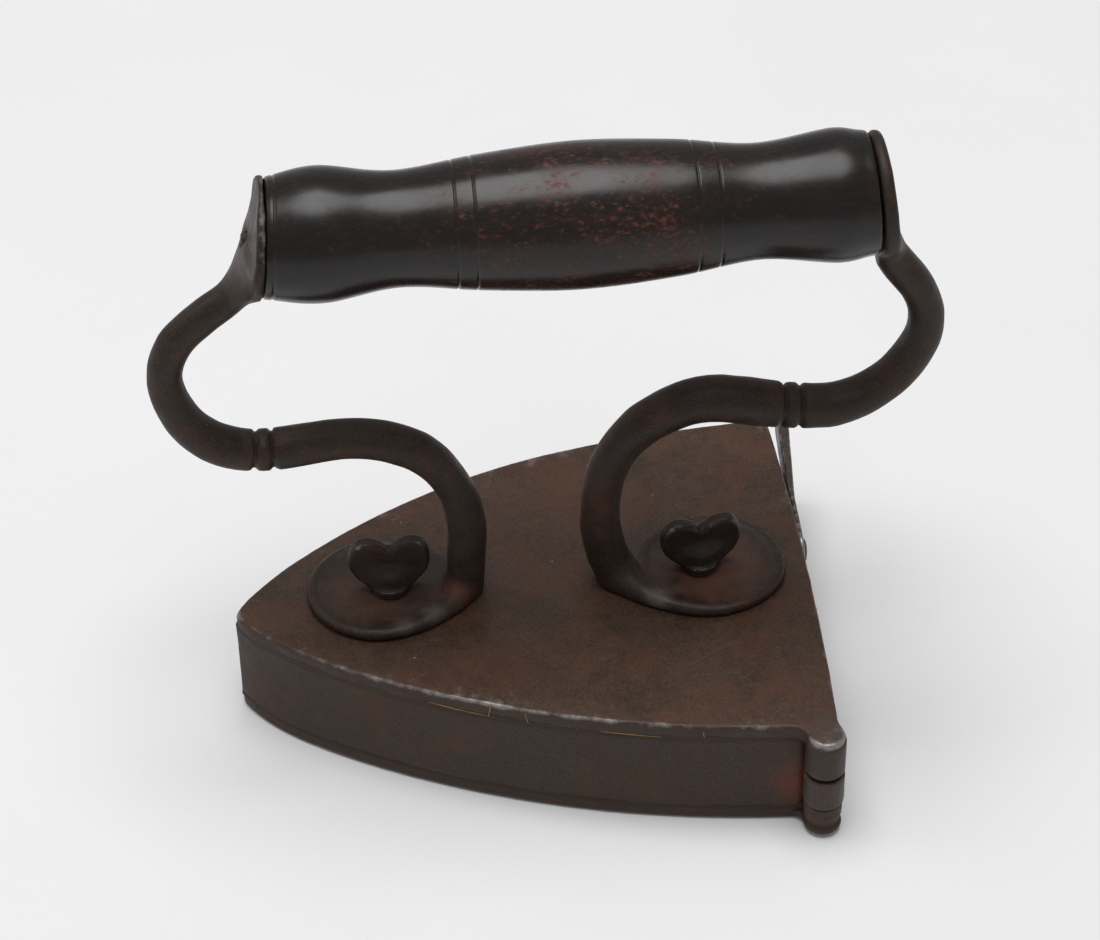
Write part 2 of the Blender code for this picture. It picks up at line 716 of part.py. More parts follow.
def make_stud(name, x):
    """A handle stud: a flat head under the top plate and a shank up through the foot disc."""
    seat = ceiling - seam_gap
    top = foot_top + nut_bore_depth
    tip = stud_radius / 3
    head_low = seat - stud_head_height
    profile = [(0.0, top), (stud_radius - tip, top), (stud_radius, top - tip), (stud_radius, seat),
               (stud_head_radius, seat), (stud_head_radius, head_low), (0.0, head_low)]
    stud = turned_solid(name, profile, small_steps, Matrix.Translation((x, 0.0, 0.0)))
    return as_part(stud, name, "nut_iron")


def post_points(post):
    """A post's path as (x, z, radius share): up from the foot to the bow, then on to the ear.

    Shares below zero are of the foot's radius, inwards from the stud, and the others are of the
    way out from the stud to the bow.
    """
    rise = grip_height - foot_top
    points = []
    for along, up, radius in post.shares:
        reach = foot_radius * post.outward if along < 0 else post.bow_x - post.stud_x
        points.append((post.stud_x + reach * along, foot_top + rise * up, radius))
    for inwards, down, radius in post.ear_shares:
        x = post.bow_x + (post.grip_end_x - post.bow_x) * inwards
        points.append((x, grip_height - ear_radius * down, radius))
    return points


def rod_curve(name, points):
    """A round rod of changing thickness along a smooth path in the handle's own plane."""
    curve = bpy.data.curves.new(name, "CURVE")
    curve.dimensions = "3D"
    curve.bevel_depth = rod_radius
    curve.bevel_resolution = rod_bevel_steps
    curve.resolution_u = rod_curve_steps
    curve.use_fill_caps = True
    spline = curve.splines.new("BEZIER")
    spline.bezier_points.add(len(points) - 1)
    for point, (x, z, radius_share) in zip(spline.bezier_points, points):
        point.co = (x, 0.0, z)
        point.radius = radius_share
        point.handle_left_type = "AUTO"
        point.handle_right_type = "AUTO"
    return curve_to_mesh(bpy.data.objects.new(name, curve))


def turned_ear(name, x, outward):
    """The ear that caps one end of the grip: a thin rim that swells to a flat round the tang."""
    rim = ear_rim + seam_gap
    profile = [(0.0, ear_middle), (ear_flat_radius, ear_middle), (ear_radius - ear_rim / 2, rim),
               (ear_radius, rim - ear_rim / 2), (ear_radius - ear_rim / 4, seam_gap), (0.0, seam_gap)]
    matrix = Matrix.Translation((x, 0.0, grip_height)) @ Matrix.Rotation(math.radians(90) * outward, 4, "Y")
    return turned_solid(name, profile, round_steps, matrix)


def bead_ring(name, centre, direction, radius):
    """A groove round the rod: a ring of cutter standing square to the rod."""
    bpy.ops.mesh.primitive_torus_add(
        major_radius=radius + bead_groove_radius - bead_groove_depth, minor_radius=bead_groove_radius,
        major_segments=bead_steps, minor_segments=ring_steps)
    ring = bpy.context.object
    ring.matrix_world = Matrix.Translation(centre) @ direction.to_track_quat("Z", "Y").to_matrix().to_4x4()
    for holder in list(ring.users_collection):
        holder.objects.unlink(ring)
    return as_cutter(ring, name)


def make_post(name, plan):
    """One handle post: foot disc, S-bent rod with a bead between two grooves, and ear."""
    points = post_points(plan)
    post = rod_curve(name, points)
    outward = plan.outward
    disc_x = plan.stud_x + outward * stud_off_centre
    low = body_height + seam_gap
    profile = [(0.0, foot_top), (foot_radius - foot_round, foot_top), (foot_radius, foot_top - foot_round),
               (foot_radius, low + foot_round / 2), (foot_radius - foot_round / 2, low), (0.0, low)]
    disc_place = Matrix.Translation((disc_x, 0.0, 0.0))
    disc = turned_solid(f"{name}_disc", profile, disc_steps, disc_place)
    combine(post, as_cutter(disc, f"{name}_disc"), "UNION")
    combine(post, as_cutter(turned_ear(f"{name}_ear", plan.grip_end_x, outward), f"{name}_ear"), "UNION")
    bead = points[plan.bead]
    centre = Vector((bead[0], 0.0, bead[1]))
    tilt = math.radians(bead_tilt_deg)
    direction = Vector((outward * math.cos(tilt), 0.0, math.sin(tilt)))
    for side in (-1, 1):
        spot = centre + direction * (bead_half_length + bead_groove_radius) * side
        ring = bead_ring(f"{name}_groove_{side}", spot, direction, rod_radius * bead[2])
        combine(post, ring, "DIFFERENCE")
    hole_radius = stud_radius + running_gap
    hole = cylinder("hole", hole_radius, low - cut_overrun, foot_top + cut_overrun, small_steps,
                    Matrix.Translation((plan.stud_x, 0.0, 0.0)))
    combine(post, as_cutter(hole, f"{name}_stud_hole"), "DIFFERENCE")
    bore = cylinder("bore", tang_radius + running_gap, -ear_middle * 2, ear_middle * 2, small_steps,
                    along_x(plan.grip_end_x, 0.0, grip_height))
    combine(post, as_cutter(bore, f"{name}_tang_bore"), "DIFFERENCE")
    return as_part(post, name, "rod_iron", sharp_deg=40.0)


def nut_wings(name, matrix):
    """The wings: one heart-shaped outline with two round lobes and a notch between them."""
    curve = bpy.data.curves.new(name, "CURVE")
    curve.dimensions = "2D"
    curve.fill_mode = "BOTH"
    curve.extrude = nut_wing_thickness / 2
    curve.resolution_u = rod_curve_steps
    right = [(nut_width / 2 * across, nut_height * up) for across, up in nut_half_outline_shares]
    left = [(-across, up) for across, up in reversed(right[:-1])]
    outline = right + left
    spline = curve.splines.new("BEZIER")
    spline.bezier_points.add(len(outline) - 1)
    for point, spot in zip(spline.bezier_points, outline):
        point.co = (spot[0], spot[1], 0.0)
        kind = "VECTOR" if spot[0] == 0.0 or spot[1] == right[0][1] else "AUTO"
        point.handle_left_type = kind
        point.handle_right_type = kind
    spline.use_cyclic_u = True
    item = bpy.data.objects.new(name, curve)
    item.matrix_world = matrix @ side_view
    return bevel(with_whole_caps(curve_to_mesh(item)), nut_wing_round)


def make_wing_nut(name, x, turn_deg):
    """A wing nut on its stud: a turned collar with a blind bore, and a heart-shaped pair of wings."""
    seat = foot_top + seam_gap
    matrix = Matrix.Translation((x, 0.0, seat)) @ Matrix.Rotation(math.radians(turn_deg), 4, "Z")
    collar = nut_collar_height
    neck_high = nut_bore_depth + nut_collar_height
    profile = [(0.0, neck_high), (nut_neck_radius / 2, neck_high), (nut_neck_radius, neck_high - collar),
               (nut_neck_radius, collar + collar / 3), (nut_collar_radius, collar),
               (nut_collar_radius, 0.0), (0.0, 0.0)]
    nut = turned_solid(name, profile, round_steps, matrix)
    wings = nut_wings(f"{name}_wings", matrix)
    combine(nut, as_cutter(wings, f"{name}_wings"), "UNION")
    bore = cylinder("bore", stud_radius + running_gap, -cut_overrun, nut_bore_depth, small_steps, matrix)
    combine(nut, as_cutter(bore, f"{name}_bore"), "DIFFERENCE")
    return as_part(nut, name, "nut_iron")


def smooth_line(points, steps):
    """A smooth line through points, with a few steps between each pair."""
    line = []
    for index in range(len(points) - 1):
        before = points[max(index - 1, 0)]
        start, end = points[index], points[index + 1]
        after = points[min(index + 2, len(points) - 1)]
        for step in range(steps):
            t = step / steps
            spot = []
            for b, s, e, a in zip(before, start, end, after):
                slope, bend, twist = e - b, 2 * b - 5 * s + 4 * e - a, 3 * s - b - 3 * e + a
                spot.append(s + (slope * t + bend * t ** 2 + twist * t ** 3) / 2)
            line.append(tuple(spot))
    return line + [tuple(points[-1])]


def grip_profile():
    """The turned outline of the grip as (distance from its front end, radius), with its fine grooves."""
    line = smooth_line(grip_shares, grip_profile_steps)
    outline = [(along * grip_length, radius * grip_radius) for along, radius in line]
    half = grip_groove_width / 2
    for share in grip_groove_shares:
        middle = share * grip_length
        before = max((spot for spot in outline if spot[0] < middle - half), key=lambda spot: spot[0])
        after = min((spot for spot in outline if spot[0] > middle + half), key=lambda spot: spot[0])
        slope = (after[1] - before[1]) / (after[0] - before[0])
        radius = lambda x: before[1] + (x - before[0]) * slope
        groove = [(middle - half, radius(middle - half)), (middle, radius(middle) - grip_groove_depth),
                  (middle + half, radius(middle + half))]
        outline = [spot for spot in outline if abs(spot[0] - middle) > half] + groove
        outline.sort(key=lambda spot: spot[0])
    return outline


def make_grip():
    """The turned wooden grip, bored through for the tang."""
    bore = tang_radius + running_gap
    outer = [(radius, grip_length - along) for along, radius in grip_profile()]
    inner = [(bore, 0.0), (bore, grip_length)]
    matrix = along_x(grip_rear_x, 0.0, grip_height) @ Matrix.Rotation(math.radians(180), 4, "X")
    grip = turned_solid("grip", outer + inner, round_steps, matrix, closed=True)
    return as_part(grip, "grip", "ebonised_wood")


def make_grip_tang():
    """The iron tang through the grip and both ears, with a peened head outside each ear."""
    half = grip_length / 2 + ear_middle + seam_gap
    top = half + tang_head_rise
    head = tang_head_radius
    shoulder = half + tang_head_rise / 3
    upper = [(0.0, top), (head * 0.6, top), (head, shoulder), (head, half), (tang_radius, half)]
    lower = [(radius, -height) for radius, height in reversed(upper)]
    matrix = along_x(grip_behind_middle, 0.0, grip_height)
    tang = turned_solid("grip_tang", upper + lower, small_steps, matrix)
    return as_part(tang, "grip_tang", "rod_iron")


def make_slug():
    """The loose iron slug that is heated and slid into the body, with a hole for its lifting hook."""
    end_x = wall_end_x - slug_door_play
    inset = wall_inset + wall_thickness + slug_clearance
    outline = mirrored(ended_at(half_outline(inset), end_x))
    low = sole_thickness + seam_gap
    slug = plan_solid("slug", outline, low, low + slug_thickness)
    bevel(slug, slug_edge_round, clamp=False)
    hole_place = Matrix.Translation((end_x - slug_hook_from_heel, 0.0, 0.0))
    hole = cylinder("hole", slug_hook_radius, 0.0, body_height, small_steps, hole_place)
    combine(slug, as_cutter(hole, "slug_hook_hole"), "DIFFERENCE")
    return as_part(slug, "slug", "slug_iron")


clear_scene()
parts = make_collection("slug_iron")
cutters = make_collection("cutters")
materials = {name: make_material(name) for name in finishes}

make_sole_plate()
make_side_band()
make_top_plate()
make_hinge_pin()
make_door()
make_latch_lever()
make_latch_rivet()
make_latch_keeper()
make_keeper_rivets()
make_stud("front_stud", front_stud_x)
make_stud("rear_stud", rear_stud_x)
make_post("front_post", front_plan)
make_post("rear_post", rear_plan)
make_wing_nut("front_wing_nut", front_stud_x, 0.0)
make_wing_nut("rear_wing_nut", rear_stud_x, nut_turn_deg)
make_grip()
make_grip_tang()
make_slug()
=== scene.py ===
"""Looks of the slug iron: rust-browned forged iron, brazed seams and a worn black grip.

Metres throughout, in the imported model's own frame: +X from the nose to the heel door, +Y away from
the door hinge, +Z up from the sole.
"""
import json
import logging
import math
from dataclasses import dataclass, field
from enum import Enum
from typing import Callable, Sequence

import bpy
import numpy as np
from mathutils import Matrix, Vector
from mathutils.geometry import delaunay_2d_cdt

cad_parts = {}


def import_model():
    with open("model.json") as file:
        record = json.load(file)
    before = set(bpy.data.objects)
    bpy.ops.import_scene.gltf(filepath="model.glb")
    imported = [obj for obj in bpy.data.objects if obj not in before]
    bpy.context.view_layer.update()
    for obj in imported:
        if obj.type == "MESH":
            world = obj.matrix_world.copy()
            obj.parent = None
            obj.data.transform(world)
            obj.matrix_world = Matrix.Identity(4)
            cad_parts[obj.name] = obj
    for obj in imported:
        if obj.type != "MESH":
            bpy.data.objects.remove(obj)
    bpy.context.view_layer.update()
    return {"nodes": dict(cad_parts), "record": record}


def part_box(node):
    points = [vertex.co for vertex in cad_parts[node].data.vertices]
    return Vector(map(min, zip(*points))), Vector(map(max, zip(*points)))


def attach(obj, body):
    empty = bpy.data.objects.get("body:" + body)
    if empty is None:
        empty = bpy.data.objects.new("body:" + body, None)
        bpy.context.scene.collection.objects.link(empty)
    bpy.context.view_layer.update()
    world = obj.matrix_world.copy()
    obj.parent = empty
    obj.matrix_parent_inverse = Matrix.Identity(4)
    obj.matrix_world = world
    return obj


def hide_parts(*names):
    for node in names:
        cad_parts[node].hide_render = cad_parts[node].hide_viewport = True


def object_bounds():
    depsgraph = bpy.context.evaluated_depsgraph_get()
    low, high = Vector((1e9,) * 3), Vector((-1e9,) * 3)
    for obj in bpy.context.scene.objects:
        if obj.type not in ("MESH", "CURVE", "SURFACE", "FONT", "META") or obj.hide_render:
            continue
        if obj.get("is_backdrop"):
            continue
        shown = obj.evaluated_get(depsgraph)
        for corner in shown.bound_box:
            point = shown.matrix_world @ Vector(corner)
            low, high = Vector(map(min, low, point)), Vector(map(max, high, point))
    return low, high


log = logging.getLogger("slug_iron")

Array = np.ndarray
Colour = tuple[float, float, float]
Skin = tuple[tuple[float, float], ...]
Item = bpy.types.Object
Node = bpy.types.Node
Tree = bpy.types.NodeTree
Socket = bpy.types.NodeSocket
Sockets = bpy.types.bpy_prop_collection
Material = bpy.types.Material

WELD = 0.00001  # points nearer than this are one point
FAR = 1.0  # longer than any distance on the iron
INSET_STEP = 0.0001  # an outline moves inwards by this much at a time
PATH_STEPS = 6  # places from one mark of a post's path to the next
RIGHT_ANGLE = math.pi / 2
CORNERS = [(i, j, k) for i in (0, 1) for j in (0, 1) for k in (0, 1)]
PLACE_KEYS, SEED_KEY, MIX_KEY = (73856093, 19349663, 83492791), 2654435761, 1274126177


class Slot(Enum):
    """The record's material slots."""

    PLATE = "plate_iron"
    WALL = "wall_iron"
    ROD = "rod_iron"
    NUT = "nut_iron"
    HINGE = "hinge_iron"
    LATCH = "latch_iron"
    SLUG = "slug_iron"
    WOOD = "ebonised_wood"


class Body(Enum):
    """The rigid bodies that made pieces ride on."""

    IRON = "iron"
    DOOR = "heel_door"
    LATCH = "latch"
    FRONT_NUT = "front_nut"
    REAR_NUT = "rear_nut"


class Brass(Enum):
    """The looks of the brazing, which has no slot of its own."""

    BROWNED = "brazing"
    BRIGHT = "bright_brazing"


class Side(Enum):
    """Which end of the iron a post belongs to, as its outward direction along X."""

    FRONT = -1
    REAR = 1


# Noise and meshes


def lattice_noise(points: Array, scale: float, seed: int) -> Array:
    """Smooth repeatable noise between -1 and 1.

    Args:
        points: Places, one to a row.
        scale: Cells to a metre.
        seed: Picks one of many patterns.

    Returns:
        One value for each place.
    """
    spots = points * scale
    corner = np.floor(spots).astype(np.int64)
    part = spots - corner
    ease = part * part * (3.0 - 2.0 * part)
    total = np.zeros(len(points))
    for step in CORNERS:
        x, y, z = ((corner + step) * PLACE_KEYS).T
        key = x ^ y ^ z ^ (seed * SEED_KEY)
        key = (key ^ (key >> 13)) * MIX_KEY
        value = ((key ^ (key >> 16)) & 0xFFFF) / 32767.5 - 1.0
        share = np.where(step, ease, 1 - ease)
        total += value * (share[:, 0] * share[:, 1]) * share[:, 2]
    return total


def mesh_object(name: str, points: Array, faces: Sequence[Sequence[int]]) -> Item:
    """Makes a smooth-shaded object from points and faces, with doubled points welded.

    Args:
        name: The object's name.
        points: Places, one to a row.
        faces: The point numbers of each face.

    Returns:
        The new object.
    """
    mesh = bpy.data.meshes.new(name)
    mesh.from_pydata(np.asarray(points).tolist(), [], [list(face) for face in faces])
    mesh.validate()
    item = bpy.data.objects.new(name, mesh)
    bpy.context.scene.collection.objects.link(item)
    item.modifiers.new("weld", "WELD").merge_threshold = WELD
    apply_modifiers(item)
    item.data.shade_smooth()
    return item


def apply_modifiers(item: Item) -> None:
    """Replaces an object's mesh by the one that its modifiers make.

    Args:
        item: The object.
    """
    depsgraph = bpy.context.evaluated_depsgraph_get()
    mesh = bpy.data.meshes.new_from_object(item.evaluated_get(depsgraph))
    old = item.data
    item.modifiers.clear()
    item.data = mesh
    mesh.name = item.name
    bpy.data.meshes.remove(old)


def join_pieces(name: str, items: Sequence[Item]) -> Item:
    """Joins several meshes that lie in the same frame into the first one, with their wear.

    Args:
        name: The joined object's name.
        items: The objects.

    Returns:
        The first object, which now holds them all.
    """
    for other in list(bpy.context.selected_objects):
        other.select_set(False)
    for item in items:
        item.select_set(True)
    bpy.context.view_layer.objects.active = items[0]
    bpy.ops.object.join()
    items[0].name = name
    items[0].data.name = name
    items[0].select_set(False)
    return items[0]


def thin_out(item: Item, ratio: float) -> None:
    """Takes faces away where the surface is flat, down to a share of them.

    Args:
        item: The object to change.
        ratio: The share of its faces that stays.
    """
    decimate = item.modifiers.new("thin", "DECIMATE")
    decimate.ratio = ratio
    apply_modifiers(item)
    item.data.shade_smooth()


def mesh_arrays(mesh: bpy.types.Mesh) -> tuple[Array, Array, Array]:
    """Points, point normals and edges of a mesh as arrays.

    Args:
        mesh: The mesh.

    Returns:
        One row for each point, each normal and each edge's two point numbers.
    """
    points = np.empty(len(mesh.vertices) * 3)
    normals = np.empty(len(mesh.vertices) * 3, np.float32)
    edges = np.empty(len(mesh.edges) * 2, np.int64)
    mesh.vertices.foreach_get("co", points)
    mesh.vertex_normals.foreach_get("vector", normals)
    mesh.edges.foreach_get("vertices", edges)
    return points.reshape(-1, 3), normals.reshape(-1, 3).astype(float), edges.reshape(-1, 2)


def put_points(item: Item, points: Array) -> None:
    """Moves a mesh's points to new places."""
    item.data.vertices.foreach_set("co", points.ravel())
    item.data.update()


def reshape(item: Item, change: Callable[[Array], Array]) -> None:
    """Moves a mesh's points to where a function of their places puts them."""
    put_points(item, change(mesh_arrays(item.data)[0]))


def forge_skin(item: Item, layers: Skin, seed: int) -> None:
    """Moves a mesh's points along their normals by layers of noise.

    Args:
        item: The object to change.
        layers: Pairs of cells to a metre and height in metres.
        seed: Picks the pattern.
    """
    points, normals, _ = mesh_arrays(item.data)
    for step, (scale, height) in enumerate(layers):
        points += normals * (lattice_noise(points, scale, seed + step) * height)[:, None]
    put_points(item, points)


def mark_wear(item: Item, reach: float, passes: int = 1) -> None:
    """Stores how far each point stands out, as its wear, and how far it lies in a hollow, which the finishes darken
    as painted shade.

    Args:
        item: The object to mark.
        reach: An edge rounded by this radius or less counts in full.
        passes: How often the result is spread to neighbours.
    """
    points, normals, edges = mesh_arrays(item.data)
    count = np.zeros(len(points))
    offset = np.zeros_like(points)
    length = np.zeros(len(points))
    step = points[edges[:, 1]] - points[edges[:, 0]]
    size = np.linalg.norm(step, axis=1)
    for end, sign in ((0, 1.0), (1, -1.0)):
        np.add.at(count, edges[:, end], 1.0)
        np.add.at(offset, edges[:, end], step * sign)
        np.add.at(length, edges[:, end], size)
    count = np.maximum(count, 1.0)
    mean = length / count
    bend = -2.0 * np.einsum("ij,ij->i", offset / count[:, None], normals) / np.maximum(mean, WELD) ** 2
    for name, sign in (("wear", 1.0), ("hollow", -1.0)):
        amount = np.clip(bend * reach * sign, 0.0, 1.0)
        for _ in range(passes):
            spread = amount.copy()
            for end, other in ((0, 1), (1, 0)):
                np.add.at(spread, edges[:, end], amount[edges[:, other]])
            amount = spread / (count + 1.0)
        attribute = item.data.attributes.new(name, "FLOAT", "POINT")
        attribute.data.foreach_set("value", amount)


def fade_wear(item: Item, middle_x: float, reach: float, least: float) -> None:
    """Weakens the stored wear away from one place along the iron.

    Args:
        item: The object to change.
        middle_x: Where all of its wear stays.
        reach: How far from there most of it has gone.
        least: The share that is left far away.
    """
    points, _, _ = mesh_arrays(item.data)
    values = np.empty(len(points))
    attribute = item.data.attributes["wear"]
    attribute.data.foreach_get("value", values)
    share = least + (1.0 - least) * np.exp(-((points[:, 0] - middle_x) / reach) ** 2)
    attribute.data.foreach_set("value", values * share)


def spread_points(line: Array, spacing: float, closed: bool) -> Array:
    """Places points evenly along a line.

    Args:
        line: The line's places, one to a row.
        spacing: About how far apart the points lie.
        closed: Whether the line's end joins its start.

    Returns:
        The points, one to a row.
    """
    whole = np.vstack([line, line[:1]]) if closed else line
    lengths = np.concatenate([[0.0], np.cumsum(np.linalg.norm(np.diff(whole, axis=0), axis=1))])
    count = max(int(round(lengths[-1] / spacing)), 2)
    spots = np.linspace(0.0, lengths[-1], count + 1)
    if closed:
        spots = spots[:-1]
    return np.stack([np.interp(spots, lengths, whole[:, axis]) for axis in range(line.shape[1])], axis=1)


def smooth_line(points: Sequence[Sequence[float]], steps: int) -> Array:
    """A smooth line through points, with a few steps between each pair.

    Args:
        points: What the line passes through.
        steps: Places from one point to the next.

    Returns:
        The line's places, one to a row.
    """
    known = np.asarray(points, float)
    padded = np.vstack([known[:1], known, known[-1:]])
    line = []
    for index in range(len(known) - 1):
        before, start, end, after = padded[index:index + 4]
        for step in range(steps):
            t = step / steps
            slope = end - before
            bend = 2 * before - 5 * start + 4 * end - after
            twist = 3 * start - before - 3 * end + after
            line.append(start + (slope * t + bend * t ** 2 + twist * t ** 3) / 2)
    line.append(known[-1])
    return np.array(line)


def quads(rows: int, count: int, wrap_rows: bool, wrap_ring: bool) -> list[list[int]]:
    """Faces between rows of points that are numbered one row after the other.

    Args:
        rows: How many rows there are.
        count: Points to a row.
        wrap_rows: Whether the last row meets the first.
        wrap_ring: Whether each row's last point meets its first.

    Returns:
        Four point numbers for each face.
    """
    faces = []
    for row in range(rows if wrap_rows else rows - 1):
        first, second = row * count, (row + 1) % rows * count
        for step in range(count if wrap_ring else count - 1):
            after = (step + 1) % count
            faces.append([first + step, second + step, second + after, first + after])
    return faces


def dome(radius: float, rise: float, steps: int) -> list[tuple[float, float]]:
    """The (radius, height) points of a dome, from its top down to its rim at zero."""
    return [(radius * math.sin(angle), rise * math.cos(angle)) for angle in np.linspace(0, RIGHT_ANGLE, steps)]


def lathe(name: str, profile: Sequence[tuple[float, float]], steps: int, place: Matrix) -> Item:
    """Turns a line of (radius, height) points about its own Z and closes it at both ends.

    Args:
        name: The object's name.
        profile: From the top of the axis down the outside to the bottom of the axis, or a
            ring that doesn't touch the axis and closes on itself.
        steps: Points round the axis.
        place: Where the axis stands.

    Returns:
        The new object.
    """
    spots = np.asarray(profile, float)
    angles = np.linspace(0.0, 2 * math.pi, steps, endpoint=False)
    ring = np.stack([np.cos(angles), np.sin(angles)], axis=1)
    points = np.concatenate([np.column_stack([ring * radius, np.full(steps, height)]) for radius, height in spots])
    closes = bool(min(spots[0, 0], spots[-1, 0]) > 0)
    turn = np.array(place)
    return mesh_object(name, points @ turn[:3, :3].T + turn[:3, 3], quads(len(spots), steps, closes, wrap_ring=True))


def along_x(x: float, y: float, z: float) -> Matrix:
    """Stands a turned piece's Z axis along +X at a place."""
    return Matrix.Translation((x, y, z)) @ Matrix.Rotation(RIGHT_ANGLE, 4, "Y")


# Modelling clay: distances on a grid


def blend_min(first: Array, second: Array, width: float) -> Array:
    """The nearer of two distances, rounded over where they are about equal.

    Args:
        first: Distances to one shape.
        second: Distances to the other.
        width: The fillet's width.

    Returns:
        Distances to the two shapes joined.
    """
    if width <= 0:
        return np.minimum(first, second)
    mix = np.clip(0.5 + 0.5 * (second - first) / width, 0.0, 1.0)
    return second + (first - second) * mix - width * mix * (1.0 - mix)


def rounded(sides: Sequence[Array], radius: float) -> Array:
    """The distance to a shape that is the overlap of several sides, with its edges rounded.

    Args:
        sides: Distances to each side, negative inside.
        radius: The edges' radius.

    Returns:
        Distances to the shape.
    """
    moved = [side + radius for side in sides]
    inner = np.maximum.reduce(moved)
    outer = np.sqrt(sum(np.maximum(side, 0.0) ** 2 for side in moved))
    return np.minimum(inner, 0.0) + outer - radius


class Clay:
    """A block of space in which forged shapes are joined, cut and meshed, as distances on a grid."""

    def __init__(self, low: Sequence[float], high: Sequence[float], cell: float) -> None:
        """Lays a grid over a box.

        Args:
            low: The box's lowest corner.
            high: The box's highest corner.
            cell: The grid's spacing.
        """
        self.low = np.asarray(low, float) - 2 * cell
        self.cell = cell
        counts = np.ceil((np.asarray(high, float) + 2 * cell - self.low) / cell).astype(int) + 1
        axes = [self.low[axis] + cell * np.arange(counts[axis]) for axis in range(3)]
        self.x, self.y, self.z = np.meshgrid(*axes, indexing="ij")
        self.field = np.full(self.x.shape, FAR)

    def join(self, shape: Array, blend: float = 0.0) -> None:
        """Adds a shape, given by its distances on the grid, with a fillet of about the blend's width."""
        self.field = blend_min(self.field, shape, blend)

    def cut(self, shape: Array, blend: float = 0.0) -> None:
        """Takes a shape away, with rounded edges of about the blend's width."""
        self.field = -blend_min(-self.field, shape, blend)

    def rod(self, x: float, y: float, radius: float, top: float = FAR) -> Array:
        """The distances to an upright rod that ends at a height."""
        return np.maximum(np.hypot(self.x - x, self.y - y) - radius, self.z - top)

    def mesh(self, name: str) -> Item:
        """Makes the surface of the clay, with one point in each cell that it passes.

        Args:
            name: The object's name.

        Returns:
            The new object.
        """
        inside = self.field < 0.0
        size = [count - 1 for count in inside.shape]
        held = sum(inside[i:size[0] + i, j:size[1] + j, k:size[2] + k].astype(np.int8) for i, j, k in CORNERS)
        active = (held > 0) & (held < len(CORNERS))
        cells = np.argwhere(active)
        values = np.stack([self.field[tuple((cells + corner).T)] for corner in CORNERS], axis=1)
        total = np.zeros((len(cells), 3))
        count = np.zeros(len(cells))
        for a, first in enumerate(CORNERS):
            for b, second in enumerate(CORNERS):
                if b <= a or sum(p != q for p, q in zip(first, second)) != 1:
                    continue
                one, two = values[:, a], values[:, b]
                crossed = (one < 0) != (two < 0)
                share = np.divide(one, one - two, out=np.zeros_like(one), where=crossed)
                spot = np.array(first) + share[:, None] * (np.array(second) - np.array(first))
                total += np.where(crossed[:, None], spot, 0.0)
                count += crossed
        points = self.low + (cells + total / count[:, None]) * self.cell
        index = np.full(active.shape, -1)
        index[active] = np.arange(len(cells))
        faces = [self._faces_across(axis, inside, index) for axis in range(3)]
        return mesh_object(name, points, np.concatenate(faces))

    @staticmethod
    def _faces_across(axis: int, inside: Array, index: Array) -> Array:
        """The faces that cross the grid's lines along one axis.

        Args:
            axis: 0, 1 or 2.
            inside: Which of the grid's points lie in the clay.
            index: The number of each cell's surface point.

        Returns:
            Four point numbers for each face.
        """
        u, v = (axis + 1) % 3, (axis + 2) % 3
        first = np.take(inside, range(inside.shape[axis] - 1), axis)
        second = np.take(inside, range(1, inside.shape[axis]), axis)
        spots = np.argwhere(first != second)
        for side in (u, v):
            spots = spots[(spots[:, side] > 0) & (spots[:, side] < inside.shape[side] - 1)]
        around = []
        for back_u, back_v in ((1, 1), (0, 1), (0, 0), (1, 0)):
            cell = spots.copy()
            cell[:, u] -= back_u
            cell[:, v] -= back_v
            around.append(index[tuple(cell.T)])
        faces = np.stack(around, axis=1)
        leaving = inside[tuple(spots.T)]
        faces[~leaving] = faces[~leaving][:, ::-1]
        return faces


# Shader building blocks


